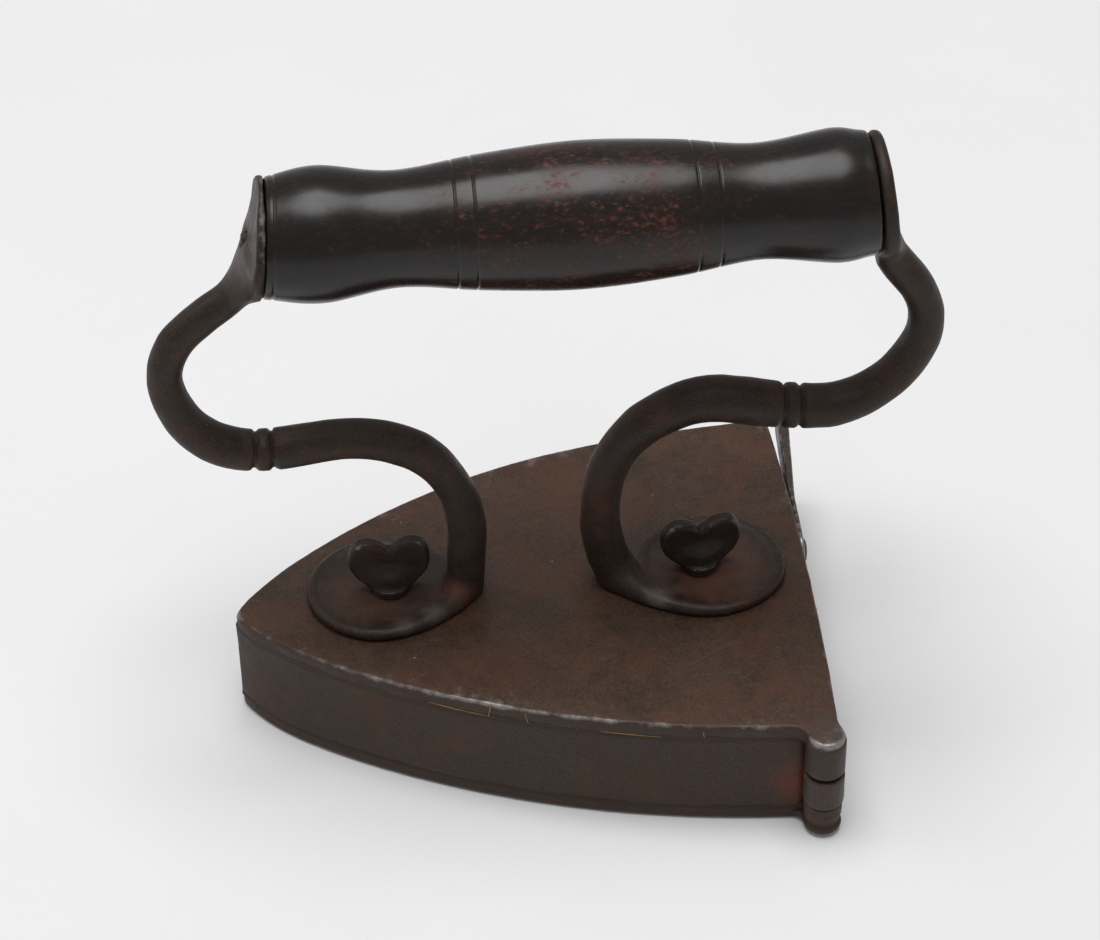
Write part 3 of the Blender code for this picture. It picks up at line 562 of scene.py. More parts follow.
class Nodes:
    """Adds nodes to one tree, with their values and links in one call."""

    def __init__(self, tree: Tree) -> None:
        """Keeps the tree that the nodes go into."""
        self.tree = tree

    def add(self, kind: str, sockets: dict[object, object] | None = None, **settings: object) -> Node:
        """Adds a node.

        Args:
            kind: The node's type without its prefix, such as "TexNoise".
            sockets: Values or other sockets by input name or number.
            settings: The node's own settings.

        Returns:
            The new node.
        """
        node = self.tree.nodes.new("ShaderNode" + kind)
        for name, value in settings.items():
            setattr(node, name, value)
        self.feed(node, sockets or {})
        return node

    def feed(self, node: Node, sockets: dict[object, object]) -> None:
        """Sets a node's inputs, or links them where the value is another socket.

        Args:
            node: The node.
            sockets: Values or other sockets by input name or number.
        """
        for name, value in sockets.items():
            target = node.inputs[name]
            if isinstance(value, Socket):
                self.tree.links.new(value, target)
            else:
                target.default_value = (*value, 1.0) if target.type == "RGBA" and len(value) == 3 else value

    def place(self) -> Socket:
        """The place of each point in the frame."""
        return self.add("TexCoord").outputs["Object"]

    def stored(self, name: str) -> Socket:
        """A value stored on the mesh, such as its wear."""
        return self.add("Attribute", attribute_name=name).outputs["Fac"]

    def use(self, tree: Tree, values: dict[object, object]) -> Sockets:
        """Places a group with its inputs by name, and gives its outputs."""
        return self.add("Group", values, node_tree=tree).outputs

    def math(self, operation: str, *values: object) -> Socket:
        """A sum of one to three values."""
        node = self.add("Math", dict(enumerate(values)), operation=operation)
        return node.outputs[0]

    def times(self, first: object, second: object) -> Socket:
        """One value times another."""
        return self.math("MULTIPLY", first, second)

    def times_plus(self, first: object, second: object, rest: object) -> Socket:
        """One value times another, plus a third."""
        return self.math("MULTIPLY_ADD", first, second, rest)

    def mix(self, share: object, first: object, second: object) -> Socket:
        """A mix of two colours."""
        return self.add("Mix", {0: share, 6: first, 7: second}, data_type="RGBA").outputs[2]

    def bump(self, strength: float, distance: float, height: Socket) -> Socket:
        """A normal bent by a height."""
        return self.add("Bump", {"Strength": strength, "Distance": distance, "Height": height}).outputs[0]

    def between(self, value: object, low: float, high: float, first: float = 0.0,
                second: float = 1.0) -> Socket:
        """Eases a value from one level to another as it passes from low to high.

        Args:
            value: The value.
            low: Where it starts to rise.
            high: Where it stops.
            first: The result up to low.
            second: The result from high on.

        Returns:
            The eased value.
        """
        sockets = {"Value": value, "From Min": low, "From Max": high, "To Min": first, "To Max": second}
        node = self.add("MapRange", sockets, interpolation_type="SMOOTHSTEP")
        return node.outputs[0]

    def noise(self, place: object, scale: float, detail: float, roughness: float = 0.55,
              distortion: float = 0.0) -> Socket:
        """Cloudy noise between 0 and 1.

        Args:
            place: Where it is read.
            scale: Its cells to a metre.
            detail: How many finer layers it has.
            roughness: How strong those are.
            distortion: How far it is pulled about.

        Returns:
            The noise's value.
        """
        sockets = {"Vector": place, "Scale": scale, "Detail": detail, "Roughness": roughness,
                   "Distortion": distortion}
        return self.add("TexNoise", sockets).outputs["Fac"]

    def stretched(self, place: object, scale: tuple[float, float, float],
                  turn_deg: tuple[float, float, float] = (0.0, 0.0, 0.0)) -> Socket:
        """Places turned and then stretched, for streaks and grain."""
        turned = self.add("Mapping", {"Vector": place, "Rotation": tuple(math.radians(a) for a in turn_deg)})
        return self.add("Mapping", {"Vector": turned.outputs[0], "Scale": scale}).outputs[0]


def new_group(name: str, inputs: Sequence[tuple[str, str, object]], outputs: Sequence[tuple[str, str]]
              ) -> tuple[Nodes, Sockets, Node]:
    """Makes an empty shader node group with named sockets.

    Args:
        name: The group's name.
        inputs: Name, socket kind and starting value of each input.
        outputs: Name and socket kind of each output.

    Returns:
        The group's node builder, the sockets of what it is given, and the node that takes what it puts out.
    """
    tree = bpy.data.node_groups.new(name, "ShaderNodeTree")
    for label, kind, value in inputs:
        socket = tree.interface.new_socket(name=label, in_out="INPUT", socket_type="NodeSocket" + kind)
        if value is not None:
            socket.default_value = value
    for label, kind in outputs:
        tree.interface.new_socket(name=label, in_out="OUTPUT", socket_type="NodeSocket" + kind)
    return Nodes(tree), tree.nodes.new("NodeGroupInput").outputs, tree.nodes.new("NodeGroupOutput")


class EffectGroups:
    """The shader groups that several materials share, each built once."""

    def __init__(self) -> None:
        """Builds every group."""
        self.patina = self._patina()
        self.wear = self._wear()
        self.specks = self._specks()
        self.scratches = self._scratches()
        self.pits = self._pits()

    @staticmethod
    def _patina() -> Tree:
        """Brown rust over dark iron: broad clouds, mottling, fine grain and speckled red patches.

        Returns:
            The group.
        """
        nodes, given, out = new_group(
            "rust_patina",
            [("Place", "Vector", None), ("Dark", "Color", (0.02, 0.015, 0.012, 1.0)),
             ("Brown", "Color", (0.06, 0.04, 0.03, 1.0)), ("Rust", "Color", (0.16, 0.045, 0.015, 1.0)),
             ("Rust Amount", "Float", 0.5), ("Clouds", "Float", 45.0)],
            [("Color", "Color"), ("Rust Mask", "Float"), ("Mottle", "Float")])
        place = given["Place"]
        broad = nodes.noise(place, given["Clouds"], 4.0, 0.6, 0.6)
        middle = nodes.noise(place, 380.0, 6.0, 0.65)
        fine = nodes.noise(place, 2300.0, 4.0, 0.75)
        mottle = nodes.math("ADD", nodes.times(broad, 0.55), nodes.times(middle, 0.45))
        grained = nodes.times_plus(nodes.math("SUBTRACT", fine, 0.5), 1.50, mottle)
        base = nodes.mix(nodes.between(grained, 0.26, 0.76), given["Dark"], given["Brown"])
        moved = nodes.add("Mapping", {"Vector": place, "Location": (0.31, 0.17, 0.05)}).outputs[0]
        patch = nodes.noise(moved, 60.0, 5.0, 0.66, 0.5)
        speckle = nodes.between(nodes.noise(moved, 1300.0, 5.0, 0.8), 0.40, 0.66)
        lift = nodes.times_plus(given["Rust Amount"], 0.25, patch)
        mask = nodes.times(nodes.between(lift, 0.58, 0.80), nodes.times_plus(speckle, 0.7, 0.3))
        colour = nodes.mix(nodes.times(mask, 0.62), base, given["Rust"])
        nodes.feed(out, {"Color": colour, "Rust Mask": mask, "Mottle": mottle})
        return nodes.tree

    @staticmethod
    def _wear() -> Tree:
        """Edges rubbed bright, broken up by noise.

        Returns:
            The group.
        """
        nodes, given, out = new_group(
            "worn_edges",
            [("Place", "Vector", None), ("Wear", "Float", 0.0), ("Amount", "Float", 0.5)], [("Mask", "Float")])
        breakup = nodes.noise(given["Place"], 190.0, 5.0, 0.7)
        level = nodes.times_plus(given["Wear"], 0.9, nodes.times(breakup, 0.75))
        level = nodes.times_plus(given["Amount"], 0.5, level)
        nodes.feed(out, {"Mask": nodes.between(level, 1.05, 1.45)})
        return nodes.tree

    @staticmethod
    def _specks() -> Tree:
        """Small scattered specks, such as dust, lint and chipped spots.

        Returns:
            The group.
        """
        nodes, given, out = new_group(
            "small_specks",
            [("Place", "Vector", None), ("Scale", "Float", 400.0), ("Share", "Float", 0.06),
             ("Size", "Float", 0.055)], [("Mask", "Float")])
        wander = nodes.add("TexNoise", {"Vector": given["Place"], "Scale": 900.0, "Detail": 2.0}).outputs["Color"]
        bent = nodes.add("VectorMath", {0: wander, "Scale": 0.0006}, operation="SCALE").outputs[0]
        moved = nodes.add("VectorMath", {0: given["Place"], 1: bent}, operation="ADD").outputs[0]
        cells = nodes.add("TexVoronoi", {"Vector": moved, "Scale": given["Scale"], "Randomness": 1.0})
        pick = nodes.add("SeparateColor", {"Color": cells.outputs["Color"]})
        chosen = nodes.math("LESS_THAN", pick.outputs[0], given["Share"])
        radius = nodes.times(given["Size"], nodes.times_plus(pick.outputs[1], 0.8, 0.3))
        near = nodes.math("LESS_THAN", cells.outputs["Distance"], radius)
        nodes.feed(out, {"Mask": nodes.times(chosen, near)})
        return nodes.tree

    @staticmethod
    def _scratches() -> Tree:
        """Fine straight scratches in a few directions.

        Returns:
            The group.
        """
        nodes, given, out = new_group(
            "fine_scratches", [("Place", "Vector", None), ("Amount", "Float", 0.5)], [("Mask", "Float")])
        marks = None
        for turn, seed in ((4.0, 0.0), (23.0, 0.4), (-31.0, 0.9)):
            shifted = nodes.add("Mapping", {"Vector": given["Place"], "Location": (seed, seed, 0.0)}).outputs[0]
            place = nodes.stretched(shifted, (60.0, 2600.0, 2600.0), (0.0, 0.0, turn))
            streak = nodes.between(nodes.noise(place, 1.0, 2.0, 0.5), 0.64, 0.72)
            marks = streak if marks is None else nodes.math("MAXIMUM", marks, streak)
        fade = nodes.between(nodes.noise(given["Place"], 85.0, 3.0), 0.45, 0.70)
        strength = nodes.times(nodes.times(marks, fade), given["Amount"])
        nodes.feed(out, {"Mask": strength})
        return nodes.tree

    @staticmethod
    def _pits() -> Tree:
        """The height of an old forged surface: soft hammering, grain and small pits.

        Returns:
            The group.
        """
        nodes, given, out = new_group(
            "forged_surface",
            [("Place", "Vector", None), ("Hammering", "Float", 0.5), ("Grain", "Float", 0.5),
             ("Pits", "Float", 0.5)], [("Height", "Float")])
        soft = nodes.noise(given["Place"], 130.0, 2.0, 0.5)
        grain = nodes.noise(given["Place"], 1900.0, 5.0, 0.65)
        cells = nodes.add("TexVoronoi", {"Vector": given["Place"], "Scale": 620.0, "Randomness": 1.0})
        pit = nodes.between(cells.outputs["Distance"], 0.10, 0.34)
        pick = nodes.add("SeparateColor", {"Color": cells.outputs["Color"]}).outputs[0]
        shallow = nodes.math("MAXIMUM", pit, nodes.math("GREATER_THAN", pick, 0.22))
        height = nodes.times(soft, given["Hammering"])
        height = nodes.times_plus(nodes.times(grain, given["Grain"]), 0.5, height)
        height = nodes.times_plus(nodes.times(shallow, given["Pits"]), 0.6, height)
        nodes.feed(out, {"Height": height})
        return nodes.tree


@dataclass(frozen=True)
class Stain:
    """A patch of another colour round one place, such as stronger rust, a paler or redder spot, or a painted shadow.
    """

    place: tuple[float, float, float]
    reach: float
    colour: Colour
    strength: float


@dataclass(frozen=True)
class IronFinish:
    """Old iron: brown patina, rust patches, scratches, specks and worn bright edges, with painted shade in its
    hollows and, where set, on its upright faces.
    """

    slot: Slot
    dark: Colour
    brown: Colour
    rust: Colour = (0.105, 0.034, 0.015)
    rust_amount: float = 0.40
    clouds: float = 45.0
    bright: Colour = (0.36, 0.345, 0.33)
    # painted shade: the near-black colour that hollows and creases are darkened towards
    crease_shade: Colour = (0.0060, 0.0042, 0.0034)
    lint: Colour = (0.36, 0.31, 0.24)
    wear: float = 0.45
    scratches: float = 0.12
    specks: float = 0.03
    hammering: float = 0.45
    grain: float = 0.60
    pits: float = 0.50
    bump: float = 0.80
    bump_reach: float = 0.00016
    smooth: float = 0.40
    rough: float = 0.62
    gloss: float = 0.42
    # painted shade: how far faces that stand upright are darkened towards the dark colour
    painted_side_shade: float = 0.0
    stains: tuple[Stain, ...] = ()

    def make(self, groups: EffectGroups) -> Material:
        """Builds the material.

        Args:
            groups: The shared shader groups.

        Returns:
            The material.
        """
        material, nodes, shader = new_material(self.slot.value)
        place = nodes.place()
        worn_by = nodes.stored("wear")
        patina = nodes.use(groups.patina, {
            "Place": place, "Dark": self.dark, "Brown": self.brown, "Rust": self.rust,
            "Rust Amount": self.rust_amount, "Clouds": self.clouds})
        worn = nodes.use(groups.wear, {"Place": place, "Wear": worn_by, "Amount": self.wear})
        lint = nodes.use(groups.specks, {"Place": place, "Share": self.specks, "Size": 0.075})
        lines = nodes.use(groups.scratches, {"Place": place, "Amount": self.scratches})
        forged = nodes.use(groups.pits, {
            "Place": place, "Hammering": self.hammering, "Grain": self.grain, "Pits": self.pits})
        colour = patina["Color"]
        # Each stain mixes its colour in round a place; on the top plate, the dark ones are painted shadow round the
        # foot discs.
        for stain in self.stains:
            away = nodes.add("VectorMath", {0: place, 1: stain.place}, operation="DISTANCE").outputs["Value"]
            ragged = nodes.times_plus(nodes.noise(place, 330.0, 5.0, 0.7), stain.reach * 0.9, away)
            spread = nodes.between(ragged, stain.reach * 1.40, stain.reach * 0.55)
            colour = nodes.mix(nodes.times(spread, stain.strength), colour, stain.colour)
        # Painted shade: hollows and creases are darkened towards a near-black colour, where shade would fall.
        crease_shade = nodes.stored("hollow")
        colour = nodes.mix(nodes.between(crease_shade, 0.10, 0.80, 0.0, 0.85), colour, self.crease_shade)
        # Painted shade: faces that stand upright are darkened, as if less lit than the faces that look up.
        if self.painted_side_shade:
            facing = nodes.add("SeparateXYZ", {"Vector": nodes.add("TexCoord").outputs["Normal"]}).outputs[2]
            upright = nodes.between(nodes.math("ABSOLUTE", facing), 0.75, 0.35)
            colour = nodes.mix(nodes.times(upright, self.painted_side_shade), colour, self.dark)
        bare = nodes.math("MAXIMUM", worn["Mask"], nodes.times(lines["Mask"], 0.35))
        colour = nodes.mix(bare, colour, self.bright)
        colour = nodes.mix(nodes.times(lint["Mask"], 0.8), colour, self.lint)
        roughness = nodes.between(patina["Mottle"], 0.36, 0.64, self.smooth, self.rough)
        roughness = nodes.times_plus(patina["Rust Mask"], 0.12, roughness)
        roughness = nodes.times_plus(bare, -0.10, roughness)
        nodes.feed(shader, {
            "Base Color": colour, "Roughness": roughness, "Metallic": nodes.times(bare, 0.85),
            "Normal": nodes.bump(self.bump, self.bump_reach, forged["Height"]), "Specular IOR Level": self.gloss})
        return material


@dataclass(frozen=True)
class SeamFinish:
    """Brass brazing, bright where it shows and browned over elsewhere."""

    look: Brass = Brass.BROWNED
    brass: Colour = (0.30, 0.175, 0.055)
    browned: Colour = (0.030, 0.0170, 0.0115)
    shown: float = 0.52
    roughness: float = 0.55
    gloss: float = 0.28

    def make(self, groups: EffectGroups) -> Material:
        """Builds the material.

        Args:
            groups: The shared shader groups.

        Returns:
            The material.
        """
        material, nodes, shader = new_material(self.look.value)
        place = nodes.place()
        clouds = nodes.noise(place, 70.0, 4.0, 0.7)
        fine = nodes.noise(place, 900.0, 3.0, 0.6)
        level = nodes.times_plus(fine, 0.30, clouds)
        shows = nodes.between(level, self.shown + 0.22, self.shown + 0.34)
        forged = nodes.use(groups.pits, {"Place": place})
        nodes.feed(shader, {
            "Base Color": nodes.mix(shows, self.browned, self.brass), "Metallic": nodes.times(shows, 0.8),
            "Normal": nodes.bump(0.3, 0.0001, forged["Height"]), "Roughness": self.roughness,
            "Specular IOR Level": self.gloss})
        return material


@dataclass(frozen=True)
class WoodFinish:
    """Black-stained turned wood, rubbed through to red-brown specks, with painted shade in its hollows."""

    black: Colour = (0.0070, 0.0056, 0.0048)
    brown: Colour = (0.026, 0.0105, 0.0060)
    orange: Colour = (0.150, 0.036, 0.013)
    cream: Colour = (0.34, 0.26, 0.17)
    # painted shade: the near-black colour that the grooves and other hollows are darkened towards
    crease_shade: Colour = (0.0018, 0.0014, 0.0012)
    middle_x: float = 0.013
    half_length: float = 0.0625
    smooth: float = 0.21
    rough: float = 0.33
    gloss: float = 0.36
    coat: float = 0.05
    coat_roughness: float = 0.25

    def make(self, groups: EffectGroups) -> Material:
        """Builds the material.

        Args:
            groups: The shared shader groups.

        Returns:
            The material.
        """
        material, nodes, shader = new_material(Slot.WOOD.value)
        place = nodes.place()
        worn_by = nodes.stored("wear")
        x = nodes.add("SeparateXYZ", {"Vector": place}).outputs[0]
        along = nodes.math("ABSOLUTE", nodes.math("SUBTRACT", x, self.middle_x))
        held = nodes.between(along, self.half_length * 0.95, self.half_length * 0.10)
        clouds = nodes.noise(nodes.stretched(place, (1.0, 1.6, 1.6)), 75.0, 5.0, 0.72, 0.5)
        flecks = nodes.noise(nodes.stretched(place, (0.6, 1.0, 1.0)), 1150.0, 5.0, 0.74)
        level = nodes.times_plus(held, 0.13, nodes.times_plus(clouds, 0.54, flecks))
        rubbed = nodes.between(level, 0.80, 1.00)
        through = nodes.between(level, 0.95, 1.07)
        grain = nodes.noise(nodes.stretched(place, (40.0, 900.0, 900.0)), 1.0, 3.0, 0.5)
        colour = nodes.mix(nodes.between(grain, 0.4, 0.75, 0.0, 0.35), self.black, self.brown)
        colour = nodes.mix(nodes.times(rubbed, 0.80), colour, self.brown)
        colour = nodes.mix(nodes.times(through, 0.60), colour, self.orange)
        chips = nodes.use(groups.specks, {"Place": place, "Scale": 130.0, "Share": 0.025, "Size": 0.05})
        colour = nodes.mix(nodes.times(chips["Mask"], 0.85), colour, self.cream)
        edge = nodes.use(groups.wear, {"Place": place, "Wear": worn_by, "Amount": 0.3})
        colour = nodes.mix(nodes.times(edge["Mask"], 0.4), colour, self.brown)
        # Painted shade: the grooves and other hollows are darkened towards a near-black colour, and made rougher.
        crease_shade = nodes.stored("hollow")
        colour = nodes.mix(nodes.between(crease_shade, 0.05, 0.50), colour, self.crease_shade)
        roughness = nodes.between(clouds, 0.3, 0.7, self.smooth, self.rough)
        roughness = nodes.times_plus(nodes.math("MAXIMUM", through, crease_shade), 0.3, roughness)
        rings = nodes.noise(nodes.stretched(place, (2600.0, 30.0, 30.0)), 1.0, 2.0, 0.5)
        height = nodes.times_plus(rings, 0.25, nodes.times(flecks, 0.5))
        nodes.feed(shader, {
            "Base Color": colour, "Roughness": roughness, "Normal": nodes.bump(0.22, 0.00006, height),
            "Specular IOR Level": self.gloss, "Coat Weight": self.coat, "Coat Roughness": self.coat_roughness})
        return material


def new_material(name: str) -> tuple[Material, Nodes, Node]:
    """Makes a material with its node builder and its Principled shader.

    Args:
        name: The material's name.

    Returns:
        The material, its node builder and its shader.
    """
    material = bpy.data.materials.new(name)
    material.use_nodes = True
    shader = material.node_tree.nodes["Principled BSDF"]
    return material, Nodes(material.node_tree), shader


# Sub-assemblies


@dataclass
class Workshop:
    """Hands each piece its finish, its body and the node that it stands for."""

    materials: dict[str, Material]
    made: int = 0

    def deliver(self, item: Item, body: Body, slot: Slot, *nodes: str, look: Brass | None = None) -> None:
        """Finishes one piece.

        Args:
            item: The piece, in place.
            body: The body that it rides on.
            slot: The record's slot that it takes its finish from.
            nodes: The CAD nodes that it stands for.
            look: The brazing's look, where the piece doesn't wear its slot's finish.
        """
        item.data.materials.clear()
        item.data.materials.append(self.materials[(look or slot).value])
        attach(item, body.value)
        if nodes:
            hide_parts(*nodes)
        self.made += 1
        log.info("%s rides on %s, %d faces", item.name, body.value, len(item.data.polygons))


@dataclass
class Outline:
    """The plan outline that the sole, the wall and the top plate share."""

    nose_x: float = -0.0632
    corner_x: float = 0.0618
    half_width: float = 0.0510
    heel_bow: float = 0.0014
    nose_handle: tuple[float, float] = (0.0486, 0.2592)
    corner_handle: tuple[float, float] = (0.4102, 0.9594)
    hinge: tuple[float, float] = (0.0589, -0.0532)
    knuckle_radius: float = 0.0041
    fillet: float = 0.0024
    steps: int = 160
    arc_steps: int = 10
    knuckle_steps: int = 26
    heel_steps: int = 60
    heel_share: float = 0.95
    spacing: float = 0.0008

    def far_side(self) -> Array:
        """The far side from the nose to the heel corner.

        Returns:
            Places in plan, one to a row.
        """
        length = self.corner_x - self.nose_x
        t = np.linspace(0.0, 1.0, self.steps)[:, None]
        nose = np.array([self.nose_x, 0.0])
        corner = np.array([self.corner_x, self.half_width])
        handles = [np.array([self.nose_x + length * along, self.half_width * across])
                   for along, across in (self.nose_handle, self.corner_handle)]
        return ((1 - t) ** 3 * nose + 3 * (1 - t) ** 2 * t * handles[0] + 3 * (1 - t) * t ** 2 * handles[1]
                + t ** 3 * corner)

    def wall_line(self, inset: float, end_x: float) -> Array:
        """The outline moved inwards, from the near heel end round the nose to the far one.

        Args:
            inset: How far it moves.
            end_x: Where both of its ends stop.

        Returns:
            Places in plan, one to a row.
        """
        far = self.far_side()
        along = np.gradient(far, axis=0)
        along /= np.linalg.norm(along, axis=1)[:, None]
        moved = far + np.column_stack([along[:, 1], -along[:, 0]]) * inset
        first = int(np.argmax(moved[:, 1] > 0))
        if first:
            before, after = moved[first - 1], moved[first]
            share = -before[1] / (after[1] - before[1])
            moved[:first] = before + (after - before) * share
        moved[:, 0] = np.minimum(moved[:, 0], end_x)
        near = moved[::-1] * np.array([1.0, -1.0])
        return np.vstack([near, moved[1:]])

    def heel_x(self, y: Array | float) -> Array | float:
        """The bowed heel edge at a place across the body."""
        return self.corner_x + self.heel_bow * (1.0 - (y / self.half_width) ** 2)

    def fillet_arc(self, corner: Array, along: Array, outward: Array) -> Array:
        """The fillet between a plate edge that runs along from a corner and the hinge knuckle.

        Args:
            corner: Where the edge starts.
            along: The direction that it runs in.
            outward: The direction away from the plate.

        Returns:
            Places in plan, one to a row.
        """
        hinge = np.array(self.hinge)
        hinge_along, hinge_out = (hinge - corner) @ along, (hinge - corner) @ outward
        reach = self.knuckle_radius + self.fillet
        centre_along = hinge_along + math.sqrt(reach ** 2 - (hinge_out - self.fillet) ** 2)
        centre = corner + along * centre_along + outward * self.fillet
        end = math.atan2(hinge_out - self.fillet, hinge_along - centre_along)
        end -= 2 * math.pi if end > 0 else 0.0
        angles = np.linspace(-RIGHT_ANGLE, end, self.arc_steps)[:, None]
        return centre + (along * np.cos(angles) + outward * np.sin(angles)) * self.fillet

    def lobe(self) -> Array:
        """The outline round the hinge knuckle, from the heel edge to the near side edge.

        Returns:
            Places in plan, one to a row.
        """
        near = self.far_side()[-2:] * np.array([1.0, -1.0])
        corner = near[1]
        to_nose = (near[0] - corner) / np.linalg.norm(near[0] - corner)
        heel_y = -self.half_width * self.heel_share
        heel = np.array([self.heel_x(heel_y), heel_y])
        to_far = (heel - corner) / np.linalg.norm(heel - corner)
        side_arc = self.fillet_arc(corner, to_nose, np.array([-to_nose[1], to_nose[0]]))
        heel_arc = self.fillet_arc(corner, to_far, np.array([to_far[1], -to_far[0]]))
        hinge = np.array(self.hinge)
        start = math.atan2(*(heel_arc[-1] - hinge)[::-1])
        end = math.atan2(*(side_arc[-1] - hinge)[::-1])
        end -= 2 * math.pi if end > start else 0.0
        angles = np.linspace(start, end, self.knuckle_steps)[1:-1, None]
        knuckle = hinge + np.hstack([np.cos(angles), np.sin(angles)]) * self.knuckle_radius
        return np.vstack([heel_arc, knuckle, side_arc[::-1]])

    def plate_line(self, with_lobe: bool) -> Array:
        """A plate's whole closed outline, evenly spaced and a little rounded at its corners.

        Args:
            with_lobe: Whether it goes round the hinge knuckle.

        Returns:
            Places in plan, one to a row.
        """
        far = self.far_side()
        near = far[::-1] * np.array([1.0, -1.0])
        y = np.linspace(self.half_width, -self.half_width, self.heel_steps)[1:-1]
        heel = np.column_stack([self.heel_x(y), y])
        if with_lobe:
            lobe = self.lobe()
            near = near[near[:, 0] < lobe[-1, 0]]
            heel = heel[heel[:, 1] > lobe[0, 1]]
            line = np.vstack([near, far[1:], heel, lobe])
        else:
            line = np.vstack([near, far[1:], heel])
        even = spread_points(line, self.spacing, closed=True)
        for _ in range(2):
            even = (np.roll(even, 1, 0) + 2 * even + np.roll(even, -1, 0)) / 4
        return even


def inset_loop(loop: Array, inset: float) -> Array:
    """A closed outline, clockwise from above, moved inwards in small steps that keep it from folding.

    Args:
        loop: The outline.
        inset: How far it moves.

    Returns:
        The moved outline.
    """
    steps = max(int(math.ceil(inset / INSET_STEP)), 1)
    line = loop
    for _ in range(steps if inset > 0 else 0):
        along = np.roll(line, -1, 0) - np.roll(line, 1, 0)
        along /= np.maximum(np.linalg.norm(along, axis=1)[:, None], WELD)
        line = line + np.column_stack([along[:, 1], -along[:, 0]]) * inset / steps
        line = (np.roll(line, 1, 0) + 6 * line + np.roll(line, -1, 0)) / 8
    return line


def inside_loop(loop: Array, spots: Array) -> Array:
    """Which places lie inside a closed outline.

    Args:
        loop: The outline.
        spots: The places, one to a row.

    Returns:
        True or false for each place.
    """
    x, y = spots[:, 0][:, None], spots[:, 1][:, None]
    x0, y0 = loop[:, 0], loop[:, 1]
    x1, y1 = np.roll(x0, -1), np.roll(y0, -1)
    crosses = ((y0 > y) != (y1 > y)) & (x < (x1 - x0) * (y - y0) / np.where(y1 == y0, FAR, y1 - y0) + x0)
    return crosses.sum(axis=1) % 2 == 1


def fill_loop(loop: Array, spacing: float) -> tuple[Array, list[list[int]]]:
    """Fills a closed outline with triangles of about a given size.

    Args:
        loop: The outline's places, in order.
        spacing: The distance between the points inside.

    Returns:
        The added places, and faces that count the outline's places first.
    """
    low, high = loop.min(0), loop.max(0)
    rows = np.arange(low[1], high[1], spacing * 0.87)
    grid = [(x, y) for row, y in enumerate(rows)
            for x in np.arange(low[0] + (row % 2) * spacing / 2, high[0], spacing)]
    spots = np.array(grid)
    spots = spots[inside_loop(loop, spots)]
    gap = np.sqrt(((spots[:, None] - loop[None]) ** 2).sum(-1)).min(1)
    spots = spots[gap > spacing * 0.6]
    corners = [Vector(spot) for spot in np.vstack([loop, spots])]
    ring = [(index, (index + 1) % len(loop)) for index in range(len(loop))]
    _, _, faces, origins, _, _ = delaunay_2d_cdt(corners, ring, [], 1, WELD / 100)
    back = [origin[0] for origin in origins]
    return spots, [[back[index] for index in face] for face in faces]


@dataclass
class Slab:
    """A flat plate with rounded and slightly uneven edges."""

    name: str
    loop: Array
    low: float
    high: float
    round_low: float
    round_high: float
    seed: int
    uneven: float = 0.00007
    sag: float = 0.00010
    sag_cells: float = 55.0
    fill: float = 0.0032

    def build(self) -> Item:
        """Builds the plate's mesh: a ring for each step of its edge, and both faces filled.

        Returns:
            The plate.
        """
        bend = np.linspace(0, RIGHT_ANGLE, 5)
        wall = self.high - self.low - self.round_low - self.round_high
        section = [(self.round_low * (1 - math.sin(angle)), self.low + self.round_low * (1 - math.cos(angle)))
                   for angle in bend]
        section += [(0.0, self.low + self.round_low + wall * share) for share in (0.33, 0.66)]
        section += [(self.round_high * (1 - math.cos(angle)), self.high - self.round_high * (1 - math.sin(angle)))
                    for angle in bend]
        count = len(self.loop)
        rings = [np.column_stack([inset_loop(self.loop, inset), np.full(count, z)]) for inset, z in section]
        points = [np.vstack(rings)]
        faces = quads(len(section), count, wrap_rows=False, wrap_ring=True)
        start = len(points[0])
        for ring, z, flip in ((rings[0], self.low, True), (rings[-1], self.high, False)):
            spots, triangles = fill_loop(ring[:, :2], self.fill)
            first = 0 if flip else (len(section) - 1) * count
            for triangle in triangles:
                marks = [first + index if index < count else start + index - count for index in triangle]
                faces.append(marks[::-1] if flip else marks)
            points.append(np.column_stack([spots, np.full(len(spots), z)]))
            start += len(spots)
        spots = np.vstack(points)
        top = np.clip((spots[:, 2] - self.low) / (self.high - self.low), 0.0, 1.0)
        spots[:, 2] += lattice_noise(spots, self.sag_cells, self.seed) * self.sag * top
        item = mesh_object(self.name, spots, faces)
        forge_skin(item, ((240.0, self.uneven * 0.6), (900.0, self.uneven * 0.4)), self.seed)
        return item


